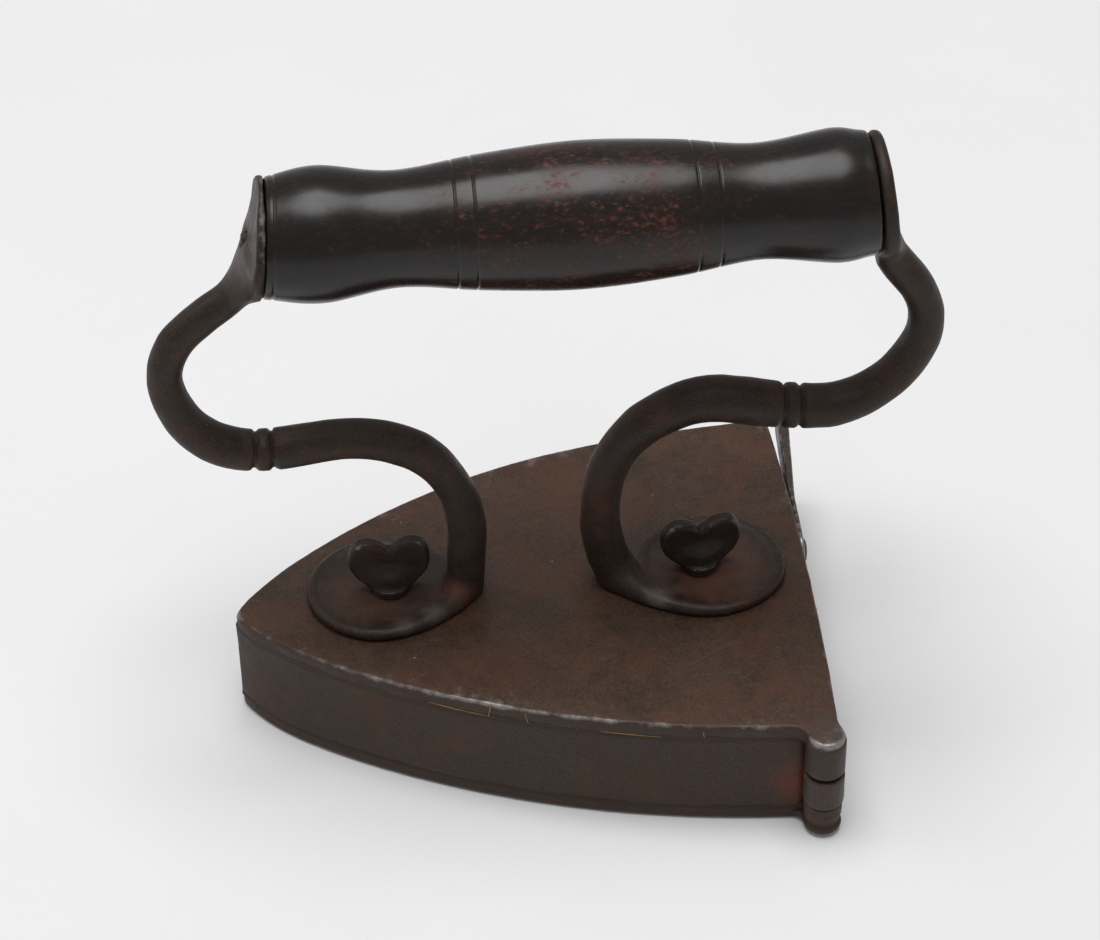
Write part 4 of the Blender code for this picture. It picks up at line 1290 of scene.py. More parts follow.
@dataclass
class IronBody:
    """The hollow body: sole, wall, top plate, their brazed seams and the fixed hinge knuckles."""

    shop: Workshop
    outline: Outline = field(default_factory=Outline)
    height: float = 0.0276
    plate: float = 0.0032
    sole_rounds: tuple[float, float] = (0.0013, 0.0001)
    top_rounds: tuple[float, float] = (0.0002, 0.0008)
    top_uneven: float = 0.00012
    seam_gap: float = 0.0003
    seam_half: tuple[tuple[float, float], ...] = (
        (0.00060, 0.00080), (0.00014, 0.00078), (0.00003, 0.00050), (-0.00003, 0.00020))
    seam_back: float = 0.0004
    seam_skin: Skin = ((240.0, 0.00004), (900.0, 0.00003))
    wall: float = 0.0034
    wall_inset: float = 0.00003
    wall_round: float = 0.0003
    wall_end_x: float = 0.0587
    wall_skin: Skin = ((110.0, 0.00010), (420.0, 0.00004))
    scoop: float = 0.0045
    lower_knuckle: tuple[float, float] = (0.0003, 0.0084)
    upper_knuckle: tuple[float, float] = (0.0174, 0.0262)
    knuckle_round: float = 0.00045
    knuckle_cell: float = 0.00028
    foot_taper: float = 0.80
    web_root: tuple[float, float] = (-0.0005, 0.0036)
    web_round: float = 0.0003
    web_fillet: float = 0.0006
    bore_round: float = 0.0002
    nose_shift: float = 0.0014
    nose_droop: float = 0.0009
    droop_from_x: float = 0.0050
    far_belly: float = 0.0014
    belly_x: float = -0.0060
    belly_reach: float = 0.0300
    struck: tuple[float, float, float, float] = (-0.0530, -0.0190, 0.0020, 0.0006)
    struck_stretch: float = 2.2
    foot_flare: float = 0.0007
    flare_x: float = -0.0560
    flare_reach: float = 0.0150
    flare_y: float = 0.010
    flare_z: float = 0.020
    drip_marks: tuple[tuple[float, float, float, float], ...] = (
        (-0.0102, 0.0276, 0.0240, -0.0006), (-0.0032, 0.0268, 0.0240, 0.0006), (-0.0232, 0.0246, 0.0241, 0.0122),
        (0.0120, 0.0243, 0.0241, 0.0130), (0.0335, 0.0262, 0.0243, 0.0003))
    drip_radius: float = 0.00013
    drip_steps: int = 9
    pin_bore: float = 0.0020
    pin_radius: float = 0.0017
    pin_ends: tuple[float, float] = (0.0006, 0.0254)
    pin_rise: float = 0.0007

    def build(self) -> None:
        """Builds and delivers every piece of the body."""
        self.sole()
        self.side_band()
        self.top_plate()
        self.seams()
        self.drips()
        self.pin()

    def knuckle(self, name: str, low: float, high: float, radius: float, foot: float,
                web: tuple[float, float] | None) -> Item:
        """One hinge knuckle, with a rounded foot and, where it needs one, a web to its plate.

        Args:
            name: The object's name.
            low: Its lower end.
            high: Its upper end.
            radius: Its radius.
            foot: How high its rounded foot reaches.
            web: The web's lower and upper face, or nothing.

        Returns:
            The new object.
        """
        x, y = self.outline.hinge
        clay = Clay((x - 0.008, y - 0.005, low), (x + 0.005, y + 0.007, high), self.knuckle_cell)
        sag = np.clip((low + foot - clay.z) / max(foot, WELD), 0.0, 1.0)
        limit = radius * np.sqrt(np.maximum(1.0 - self.foot_taper * sag ** 2, 0.0))
        away = np.hypot(clay.x - x, clay.y - y)
        clay.join(rounded([away - limit, clay.z - high, low - clay.z], self.knuckle_round))
        if web:
            lobe = np.vstack([self.outline.lobe(), [[x + self.web_root[0], y + self.web_root[1]]]])
            plan = plan_distance(lobe, clay.x[:, :, 0], clay.y[:, :, 0])[:, :, None] + np.zeros_like(clay.z)
            clay.join(rounded([plan, clay.z - web[1], web[0] - clay.z], self.web_round), self.web_fillet)
        clay.cut(clay.rod(x, y, self.pin_bore), self.bore_round)
        return clay.mesh(name)

    def dent(self, points: Array) -> Array:
        """Knocks the top plate's near edge down where the nose was once struck.

        Args:
            points: Places, one to a row.

        Returns:
            The same points, moved.
        """
        x, y, reach, depth = self.struck
        away = np.hypot((points[:, 0] - x) / self.struck_stretch, points[:, 1] - y)
        points[:, 2] -= depth * np.exp(-(away / reach) ** 2) * (points[:, 2] > self.height - self.plate / 2)
        return points

    def settle(self, points: Array) -> Array:
        """Turns the body's nose and lets it droop, bellies the far side and flares the near foot.

        Args:
            points: Places, one to a row.

        Returns:
            The same points, moved.
        """
        share = np.clip((self.droop_from_x - points[:, 0]) / (self.droop_from_x - self.outline.nose_x), 0.0, 1.0)
        belly = self.far_belly * np.exp(-((points[:, 0] - self.belly_x) / self.belly_reach) ** 2)
        points[:, 1] += belly * np.clip(points[:, 1] / self.outline.half_width, 0.0, 1.0)
        points[:, 1] -= self.nose_shift * share ** 2
        flare = self.foot_flare * np.exp(-((points[:, 0] - self.flare_x) / self.flare_reach) ** 2)
        flare = flare * np.clip(-points[:, 1] / self.flare_y, 0.0, 1.0)
        points[:, 1] -= flare * np.clip(1.0 - points[:, 2] / self.flare_z, 0.0, 1.0)
        points[:, 2] -= self.nose_droop * share ** 3 * np.clip(points[:, 2] / self.height, 0.0, 1.0)
        return points

    def sole(self) -> None:
        """The sole plate with the lower knuckle."""
        line = self.outline.plate_line(with_lobe=False)
        slab = Slab("sole", line, 0.0, self.plate, *self.sole_rounds, seed=11).build()
        knuckle = self.knuckle("lower_knuckle", *self.lower_knuckle, radius=0.0041, foot=0.0060, web=(0.0012, 0.0026))
        mark_wear(slab, reach=0.0004)
        mark_wear(knuckle, reach=0.00012)
        item = join_pieces("sole_plate_forging", [slab, knuckle])
        reshape(item, self.settle)
        self.shop.deliver(item, Body.IRON, Slot.WALL, "sole_plate")

    def top_plate(self) -> None:
        """The top plate with its lobe and the upper knuckle."""
        line = self.outline.plate_line(with_lobe=True)
        slab = Slab("top", line, self.height - self.plate, self.height, *self.top_rounds, seed=23,
                    uneven=self.top_uneven).build()
        knuckle = self.knuckle("upper_knuckle", *self.upper_knuckle, radius=0.0043, foot=0.0, web=None)
        mark_wear(slab, reach=0.0023, passes=2)
        fade_wear(slab, middle_x=-0.0070, reach=0.0270, least=0.50)
        mark_wear(knuckle, reach=0.00005)
        item = join_pieces("top_plate_forging", [slab, knuckle])
        reshape(item, self.settle)
        reshape(item, self.dent)
        self.shop.deliver(item, Body.IRON, Slot.PLATE, "top_plate")

    def sweep(self, name: str, section: Sequence[tuple[float, float]], end_x: float) -> Item:
        """Carries a closed section of (inset, height) points round the wall line, with flat ends.

        Args:
            name: The object's name.
            section: The section's points.
            end_x: Where both ends stop.

        Returns:
            The new object.
        """
        lines = [np.column_stack([self.outline.wall_line(inset, end_x), np.full(self.outline.steps * 2 - 1, z)])
                 for inset, z in section]
        rows, count = len(lines), len(lines[0])
        faces = quads(rows, count, wrap_rows=True, wrap_ring=False)
        faces.append([row * count for row in range(rows)][::-1])
        faces.append([row * count + count - 1 for row in range(rows)])
        return mesh_object(name, np.vstack(lines), faces)

    def side_band(self) -> None:
        """The wall, dented a little and hollowed for the hinge."""
        low, high = self.plate + self.seam_gap, self.height - self.plate - self.seam_gap
        outer, inner = self.wall_inset, self.wall_inset + self.wall
        edge = self.wall_round
        section = [(outer + edge, low), (outer, low + edge)]
        section += [(outer, low + (high - low) * share) for share in np.linspace(0.08, 0.92, 13)]
        section += [(outer, high - edge), (outer + edge, high), (inner, high), (inner, low)]
        band = self.sweep("side_band_bar", section[::-1], self.wall_end_x)
        forge_skin(band, self.wall_skin, seed=31)
        reshape(band, self.clear_hinge)
        reshape(band, self.settle)
        mark_wear(band, reach=0.0004)
        self.shop.deliver(band, Body.IRON, Slot.WALL, "side_band")

    def clear_hinge(self, points: Array) -> Array:
        """Scoops the wall's end out round the hinge.

        Args:
            points: Places, one to a row.

        Returns:
            The same points, moved.
        """
        hinge = np.array(self.outline.hinge)
        away = points[:, :2] - hinge
        gap = np.linalg.norm(away, axis=1)
        near = gap < self.scoop
        points[near, :2] = hinge + away[near] / gap[near, None] * self.scoop
        return points

    def seams(self) -> None:
        """The two brazed seams, which stand out of their joints here and there."""
        for name, z, seed in (("upper_seam", self.height - self.plate - self.seam_gap / 2, 41),
                              ("lower_seam", self.plate + self.seam_gap / 2, 43)):
            section = [(inset, z + rise) for inset, rise in self.seam_half]
            section += [(inset, z - rise) for inset, rise in reversed(self.seam_half)]
            seam = self.sweep(name, section, self.wall_end_x - self.seam_back)
            forge_skin(seam, self.seam_skin, seed)
            reshape(seam, self.settle)
            self.shop.deliver(seam, Body.IRON, Slot.WALL, look=Brass.BROWNED)

    def drips(self) -> None:
        """A few slivers of brass that ran out of the upper seam on the near side."""
        line = self.outline.wall_line(0.0, self.wall_end_x)
        near = line[line[:, 1] <= 0][::-1]
        taper = 0.55 + 0.45 * np.sin(np.linspace(0.35, math.pi - 0.35, self.drip_steps))
        for number, (x, top, low, lean) in enumerate(self.drip_marks):
            xs = x + np.linspace(0.0, lean, self.drip_steps)
            ys = np.interp(xs, near[:, 0], near[:, 1])
            points = np.column_stack([xs, ys, np.linspace(top, low, self.drip_steps)])
            item = tube(f"brass_drip_{number}", points, self.drip_radius * taper, sides=8)
            forge_skin(item, ((1400.0, 0.00005),), seed=60 + number)
            reshape(item, self.settle)
            self.shop.deliver(item, Body.IRON, Slot.WALL, look=Brass.BRIGHT)

    def pin(self) -> None:
        """The hinge pin with its domed lower end."""
        radius, (low, high) = self.pin_radius, self.pin_ends
        foot = [(radius * math.cos(angle), low + self.pin_rise * (1 - math.sin(angle)))
                for angle in np.linspace(0, RIGHT_ANGLE, 6)]
        pin = lathe("hinge_pin_rod", [(0.0, high), (radius, high), *foot], steps=32,
                    place=Matrix.Translation((*self.outline.hinge, 0.0)))
        mark_wear(pin, reach=0.0008)
        self.shop.deliver(pin, Body.IRON, Slot.HINGE, "hinge_pin")


def plan_distance(loop: Array, x: Array, y: Array) -> Array:
    """The distance from a closed outline in plan, negative inside.

    Args:
        loop: The outline.
        x: A grid of places along X.
        y: The same places along Y.

    Returns:
        A grid of distances.
    """
    spots = np.column_stack([x.ravel(), y.ravel()])
    best = np.full(len(spots), FAR)
    for start, end in zip(loop, np.roll(loop, -1, 0)):
        step = end - start
        share = np.clip((spots - start) @ step / max(step @ step, WELD ** 2), 0.0, 1.0)
        best = np.minimum(best, np.linalg.norm(spots - start - share[:, None] * step, axis=1))
    return np.where(inside_loop(loop, spots), -best, best).reshape(x.shape)


def tube(name: str, points: Array, sizes: Array, sides: int) -> Item:
    """A round closed tube of changing radius along a line of points.

    Args:
        name: The object's name.
        points: The line's places, one to a row.
        sizes: The radius at each place.
        sides: Points round the tube.

    Returns:
        The new object.
    """
    along = np.gradient(points, axis=0)
    along /= np.linalg.norm(along, axis=1)[:, None]
    across = np.cross(along, np.array([1.0, 0.0, 0.0]))
    across /= np.maximum(np.linalg.norm(across, axis=1)[:, None], WELD)
    up = np.cross(along, across)
    angles = np.linspace(0, 2 * math.pi, sides, endpoint=False)
    rings = [point + size * (np.outer(np.cos(angles), side) + np.outer(np.sin(angles), rise))
             for point, size, side, rise in zip(points, sizes, across, up)]
    faces = [face[:1] + face[:0:-1] for face in quads(len(rings), sides, wrap_rows=False, wrap_ring=True)]
    faces.append(list(range(sides))[::-1])
    faces.append([(len(rings) - 1) * sides + step for step in range(sides)])
    return mesh_object(name, np.vstack(rings), faces)


@dataclass
class HeelDoor:
    """The heel door with its strap, knuckle, latch lever and rivet."""

    shop: Workshop
    outline: Outline = field(default_factory=Outline)
    thickness: float = 0.0026
    inset: float = 0.0001
    low: float = 0.0036
    high: float = 0.0240
    near_y: float = -0.0487
    far_y: float = 0.0508
    knuckle: tuple[float, float] = (0.0085, 0.0164)
    strap_heights: tuple[float, float] = (0.0086, 0.0156)
    knuckle_radius: float = 0.0044
    pin_bore: float = 0.0020
    leaf_round: float = 0.0004
    strap_round: float = 0.0003
    strap_fillet: float = 0.0005
    bore_round: float = 0.0002
    door_cell: float = 0.00042
    strap: tuple[float, float] = (0.0603, 0.0630)
    strap_end_y: float = -0.0417
    pivot: tuple[float, float] = (0.0135, 0.0195)
    face_x: float = 0.0635
    lever_length: float = 0.0370
    lever_eye: float = 0.0045
    lever_tip: float = 0.0030
    lever_thickness: float = 0.0012
    lever_round: float = 0.0005
    lever_bore: float = 0.0019
    lever_cell: float = 0.00026
    bend_from: float = 0.35
    bend_inner: float = 0.0007
    bend_outer: float = 0.0022
    lift_deg: float = 7.6
    rivet_inner_x: float = 0.0604
    rivet_play: float = 0.0003

    def build(self) -> None:
        """Builds and delivers the door, the lever and its rivet."""
        self.plate()
        self.lever()
        self.rivet()

    def plate(self) -> None:
        """The bowed plate with its strap and knuckle."""
        hinge_x, hinge_y = self.outline.hinge
        clay = Clay((hinge_x - 0.0045, hinge_y - 0.0045, self.low), (0.0634, self.far_y, self.high), self.door_cell)
        x, y, z = clay.x, clay.y, clay.z
        outer = self.outline.heel_x(y) - self.inset
        clay.join(rounded([x - outer, outer - self.thickness - x, y - self.far_y, self.near_y - y,
                           z - self.high, self.low - z], self.leaf_round))
        clay.join(rounded([x - self.strap[1], self.strap[0] - x, y - self.strap_end_y, hinge_y - y,
                           z - self.strap_heights[1], self.strap_heights[0] - z], self.strap_round),
                  self.strap_fillet)
        clay.join(rounded([clay.rod(hinge_x, hinge_y, self.knuckle_radius), z - self.knuckle[1],
                           self.knuckle[0] - z], self.leaf_round), self.leaf_round)
        clay.cut(clay.rod(hinge_x, hinge_y, self.pin_bore), self.bore_round)
        door = clay.mesh("heel_door_plate")
        thin_out(door, ratio=0.45)
        forge_skin(door, ((160.0, 0.00008), (700.0, 0.00003)), seed=71)
        mark_wear(door, reach=0.0008)
        self.shop.deliver(door, Body.DOOR, Slot.HINGE, "door")

    def lever(self) -> None:
        """The latch lever: an eye, a tapering bar and a thicker round tip that stands off."""
        pivot_y, pivot_z = self.pivot
        lift = math.radians(self.lift_deg)
        eye, tip, reach = self.lever_eye, self.lever_tip, self.lever_length
        clay = Clay((self.face_x - 0.0002, pivot_y - eye, pivot_z - eye),
                    (self.face_x + 0.0040, pivot_y + reach + tip, pivot_z + reach * math.sin(lift) + eye),
                    self.lever_cell)
        y, z = clay.y - pivot_y, clay.z - pivot_z
        along = y * math.cos(lift) + z * math.sin(lift)
        across = -y * math.sin(lift) + z * math.cos(lift)
        share = np.clip(along / reach, 0.0, 1.0)
        side = np.hypot(along - share * reach, across) - (eye + (tip - eye) * share)
        bend = np.clip((share - self.bend_from) / (1.0 - self.bend_from), 0.0, 1.0)
        inner = self.face_x + self.bend_inner * bend
        outer = self.face_x + self.lever_thickness + self.bend_outer * bend
        clay.join(rounded([side, clay.x - outer, inner - clay.x], self.lever_round))
        clay.cut(np.hypot(y, z) - self.lever_bore, self.bore_round)
        lever = clay.mesh("latch_lever_bar")
        thin_out(lever, ratio=0.6)
        forge_skin(lever, ((260.0, 0.00006),), seed=77)
        mark_wear(lever, reach=0.0011)
        self.shop.deliver(lever, Body.LATCH, Slot.LATCH, "latch_lever")

    def rivet(self) -> None:
        """The rivet with its domed head."""
        seat = self.face_x + self.lever_thickness + self.rivet_play
        rivet = domed_rivet("latch_rivet_peened", shank=0.0016, head=0.0027, rise=0.0006,
                            length=seat - self.rivet_inner_x, place=along_x(seat, *self.pivot))
        self.shop.deliver(rivet, Body.DOOR, Slot.LATCH, "latch_rivet")


def domed_rivet(name: str, shank: float, head: float, rise: float, length: float, place: Matrix) -> Item:
    """A rivet with a hammered dome above its own Z zero and its shank below.

    Args:
        name: The object's name.
        shank: The shank's radius.
        head: The head's radius.
        rise: The dome's height.
        length: The shank's length.
        place: Where the head is seated.

    Returns:
        The new object.
    """
    rim = -0.0001
    profile = [*dome(head, rise, steps=9), (head, rim), (shank, rim), (shank, -length), (0.0, -length)]
    item = lathe(name, profile, steps=36, place=place)
    forge_skin(item, ((700.0, 0.00006),), seed=83)
    mark_wear(item, reach=0.0005)
    return item


@dataclass
class LatchKeeper:
    """The keeper's two rivets; its own solid stays as packed."""

    shop: Workshop
    outline: Outline = field(default_factory=Outline)
    wall_back: float = 0.0002
    strap: float = 0.0021
    shank: float = 0.0012
    head: float = 0.0023
    rise: float = 0.0010
    length: float = 0.0054

    def build(self) -> None:
        """Makes and delivers the rivets, square to the far wall."""
        line = self.outline.far_side()
        for node in ("keeper_rivet_front", "keeper_rivet_rear"):
            low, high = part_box(node)
            centre = (low + high) / 2
            slope = np.interp(centre.x, line[1:, 0], np.diff(line[:, 1]) / np.diff(line[:, 0]))
            outward = Vector((-slope, 1.0, 0.0)).normalized()
            turn = outward.to_track_quat("Z", "X").to_matrix().to_4x4()
            face_y = float(np.interp(centre.x, line[:, 0], line[:, 1])) - self.wall_back
            seat = Vector((centre.x, face_y, centre.z)) + outward * self.strap
            seat.x = centre.x + outward.x * (seat.y - centre.y)
            rivet = domed_rivet(f"{node}_peened", self.shank, self.head, self.rise, self.length,
                                Matrix.Translation(seat) @ turn)
            self.shop.deliver(rivet, Body.IRON, Slot.LATCH, node)


@dataclass
class Post:
    """One handle post: foot disc, S-bent rod with a bead, and the ear that caps the grip."""

    shop: Workshop
    side: Side
    stud_x: float
    grip_end_x: float
    path: tuple[tuple[float, float, float, float], ...]
    seed: int
    foot_middle: tuple[float, float]
    foot_radii: tuple[float, float]
    lip: tuple[tuple[float, float, float, float], ...]
    ear_swell: float
    ear_rim: float
    ear_wedge: float
    ear_gap: float
    ear_round: float
    lean: float
    axis_z: float
    foot_low: float = 0.0279
    foot_top: float = 0.0299
    stud_bore: float = 0.0029
    ear_radius: float = 0.0126
    tang_bore: float = 0.0016
    bead_index: int = 8
    groove_off: float = 0.0019
    groove_width: float = 0.00052
    groove_depth: float = 0.00085
    room: float = 0.0064
    margin: float = 0.0004
    disc_fillet: float = 0.0024
    lip_fillet: float = 0.0015
    ear_fillet: float = 0.0034
    disc_round: float = 0.0004
    rim_height: float = 0.00045
    rim_inset: float = 0.0012
    rim_width: float = 0.0007
    rim_drop: float = 0.00012
    cap_low: float = 0.108
    cap_round: float = 0.0003
    stud_top: float = 0.0345
    tang_reach: float = 0.0075
    leaf_top: float = 0.0008
    leaf_width: float = 0.0092
    leaf_taper: float = 0.0036
    leaf_growth: float = 0.85
    skin: Skin = ((80.0, 0.00022), (300.0, 0.00009))
    cell: float = 0.00045

    def build(self) -> None:
        """Builds and delivers the post."""
        name = f"{self.side.name.lower()}_post"
        line = smooth_line(self.path, PATH_STEPS)
        disc_x, disc_y = self.foot_middle
        reach_x, reach_y = self.foot_radii
        xs = [*(line[:, 0] - self.room), *(line[:, 0] + self.room), disc_x - reach_x, disc_x + reach_x]
        across = reach_y + self.margin
        clay = Clay((min(xs), disc_y - across, self.foot_low),
                    (max(xs), disc_y + across, self.axis_z + self.ear_radius + self.margin), self.cell)
        x, y, z = clay.x, clay.y, clay.z
        out = self.side.value * (x - self.grip_end_x) + self.lean * (z - self.axis_z)
        clay.join(self.rod(clay, line))
        clay.join(self.disc(clay), self.disc_fillet)
        clay.join(self.lip_along_rim(clay), self.lip_fillet)
        clay.join(self.ear(clay, out), self.ear_fillet)
        clay.cut(rounded([out - self.ear_gap, self.cap_low - z], self.cap_round))
        clay.cut(z - self.foot_low)
        clay.cut(clay.rod(self.stud_x, 0.0, self.stud_bore, self.stud_top))
        clay.cut(np.maximum(np.hypot(y, z - self.axis_z) - self.tang_bore,
                            np.abs(x - self.grip_end_x) - self.tang_reach))
        post = clay.mesh(f"{name}_forging")
        thin_out(post, ratio=0.62)
        forge_skin(post, self.skin, self.seed)
        mark_wear(post, reach=0.0009, passes=3)
        self.shop.deliver(post, Body.IRON, Slot.ROD, name)

    def rod(self, clay: Clay, line: Array) -> Array:
        """The distances to the rod, a line in the handle's plane.

        Args:
            clay: The block that it goes into.
            line: The x, z, radius and half width of each point.

        Returns:
            One distance for each of the grid's points.
        """
        x, z = clay.x[:, 0, :].ravel(), clay.z[:, 0, :].ravel()
        spots = np.column_stack([x, z])
        best = np.full(len(spots), FAR)
        radius = np.zeros(len(spots))
        width = np.ones(len(spots))
        score = np.full(len(spots), FAR)
        along = np.zeros(len(spots))
        lengths = np.concatenate([[0.0], np.cumsum(np.linalg.norm(np.diff(line[:, :2], axis=0), axis=1))])
        for begin, start, end in zip(lengths, line, line[1:]):
            step = end[:2] - start[:2]
            share = np.clip((spots - start[:2]) @ step / max(step @ step, WELD ** 2), 0.0, 1.0)
            gap = np.linalg.norm(spots - start[:2] - share[:, None] * step, axis=1)
            size = start[2] + (end[2] - start[2]) * share
            wide = start[3] + (end[3] - start[3]) * share
            closer = gap - size < score
            score = np.where(closer, gap - size, score)
            best = np.where(closer, gap, best)
            radius = np.where(closer, size, radius)
            width = np.where(closer, wide, width)
            along = np.where(closer, begin + share * np.linalg.norm(step), along)
        for side in (-1.0, 1.0):
            groove = lengths[self.bead_index * PATH_STEPS] + side * self.groove_off
            notch = self.groove_depth * np.exp(-((along - groove) / self.groove_width) ** 2)
            radius, width = radius - notch, width - notch
        shape = clay.x[:, 0, :].shape
        best, radius, width = (value.reshape(shape)[:, None, :] for value in (best, radius, width))
        return np.sqrt(best ** 2 + (clay.y * radius / width) ** 2) - radius

    def disc(self, clay: Clay) -> Array:
        """The distances to the foot disc, which is a little thicker at its rim.

        Args:
            clay: The block that it goes into.

        Returns:
            One distance for each of the grid's points.
        """
        (disc_x, disc_y), (reach_x, reach_y) = self.foot_middle, self.foot_radii
        away = np.hypot((clay.x - disc_x) * reach_y / reach_x, clay.y - disc_y)
        rim = self.rim_height * np.exp(-((away - reach_y + self.rim_inset) / self.rim_width) ** 2)
        return rounded([away - reach_y, clay.z - self.foot_top - rim + self.rim_drop, self.foot_low - clay.z],
                       self.disc_round)

    def ear(self, clay: Clay, out: Array) -> Array:
        """The distances to the ear, a round cap with a leaf-shaped swelling down to the rod.

        Args:
            clay: The block that it goes into.
            out: How far outside the leaning end of the grip each point lies.

        Returns:
            One distance for each of the grid's points.
        """
        fall = np.clip((self.axis_z + self.ear_radius - self.leaf_top - clay.z) / (2 * self.ear_radius), 0.0, 1.0)
        width = self.leaf_width - self.leaf_taper * fall
        spine = self.ear_swell * fall ** self.leaf_growth * np.exp(-(clay.y / width) ** 2)
        thick = self.ear_rim + self.ear_wedge * fall + spine
        away = np.hypot(clay.y, clay.z - self.axis_z)
        return rounded([away - self.ear_radius, out - self.ear_gap - thick, self.ear_gap - out], self.ear_round)

    def lip_along_rim(self, clay: Clay) -> Array:
        """The distances to the thick lip that runs from the rod's foot along the disc's rim.

        Args:
            clay: The block that it goes into.

        Returns:
            One distance for each of the grid's points.
        """
        x, y, z = clay.x, clay.y, clay.z
        marks = smooth_line(self.lip, steps=4)
        best = np.full(x.shape, FAR)
        for start, end in zip(marks, marks[1:]):
            step = end[:3] - start[:3]
            reach = step @ step
            share = ((x - start[0]) * step[0] + (y - start[1]) * step[1] + (z - start[2]) * step[2]) / reach
            share = np.clip(share, 0.0, 1.0)
            gap = np.sqrt((x - start[0] - step[0] * share) ** 2 + (y - start[1] - step[1] * share) ** 2
                          + (z - start[2] - step[2] * share) ** 2)
            best = np.minimum(best, gap - start[3] - (end[3] - start[3]) * share)
        return best


@dataclass
class WingNut:
    """A forged wing nut: a flange, a short neck and two round lobes with a notch between them."""

    shop: Workshop
    name: str
    body: Body
    x: float
    turn_deg: float
    seed: int
    height: float = 0.0137
    seat_z: float = 0.0302
    width: float = 0.0178
    flange: float = 0.0046
    flange_top: float = 0.0021
    flange_round: float = 0.0006
    flange_fillet: float = 0.0004
    neck: float = 0.0035
    neck_top: float = 0.0053
    neck_fillet: float = 0.0032
    bore_radius: float = 0.00275
    bore_top: float = 0.0048
    half_thickness: float = 0.00165
    swell: tuple[float, float] = (0.90, 0.16)
    root: float = 0.0012
    root_top: float = 0.0080
    wing_round: float = 0.0010
    notch: float = 0.825
    cell: float = 0.00030
    skin: Skin = ((210.0, 0.00016), (650.0, 0.00006))

    def heart(self) -> Array:
        """The wings' outline.

        Returns:
            How far across and how far up each of its points lies.
        """
        half = [(0.38, 0.10), (0.57, 0.15), (0.78, 0.26), (0.93, 0.40), (0.998, 0.58), (0.96, 0.78), (0.82, 0.94),
                (0.62, 0.995), (0.42, 0.985), (0.20, 0.92), (0.06, 0.85)]
        right = smooth_line([(self.width / 2 * a, self.height * b) for a, b in half], steps=5)
        left = right[::-1] * np.array([-1.0, 1.0])
        return np.vstack([right, [[0.0, self.height * self.notch]], left])

    def build(self) -> None:
        """Builds and delivers the nut."""
        reach = self.width / 2
        clay = Clay((-reach, -self.flange, 0.0), (reach, self.flange, self.height), self.cell)
        loop = self.heart()
        flat = plan_distance(loop, clay.x[:, 0, :], clay.z[:, 0, :])[:, None, :]
        least, more = self.swell
        thick = self.half_thickness * (least + more * np.clip(clay.z / self.height, 0.0, 1.0))
        thick = thick + self.root * np.clip(1.0 - clay.z / self.root_top, 0.0, 1.0) ** 2
        clay.join(rounded([flat + 0.0 * clay.y, np.abs(clay.y) - thick], self.wing_round))
        clay.join(rounded([np.hypot(clay.x, clay.y) - self.neck, clay.z - self.neck_top, -clay.z],
                          self.wing_round), self.neck_fillet)
        clay.join(rounded([np.hypot(clay.x, clay.y) - self.flange, clay.z - self.flange_top, -clay.z],
                          self.flange_round), self.flange_fillet)
        clay.cut(clay.rod(0.0, 0.0, self.bore_radius, self.bore_top))
        nut = clay.mesh(f"{self.name}_forging")
        thin_out(nut, ratio=0.6)
        place = Matrix.Translation((self.x, 0.0, self.seat_z)) @ Matrix.Rotation(math.radians(self.turn_deg), 4, "Z")
        nut.data.transform(place)
        forge_skin(nut, self.skin, self.seed)
        mark_wear(nut, reach=0.0010)
        self.shop.deliver(nut, self.body, Slot.NUT, self.name)


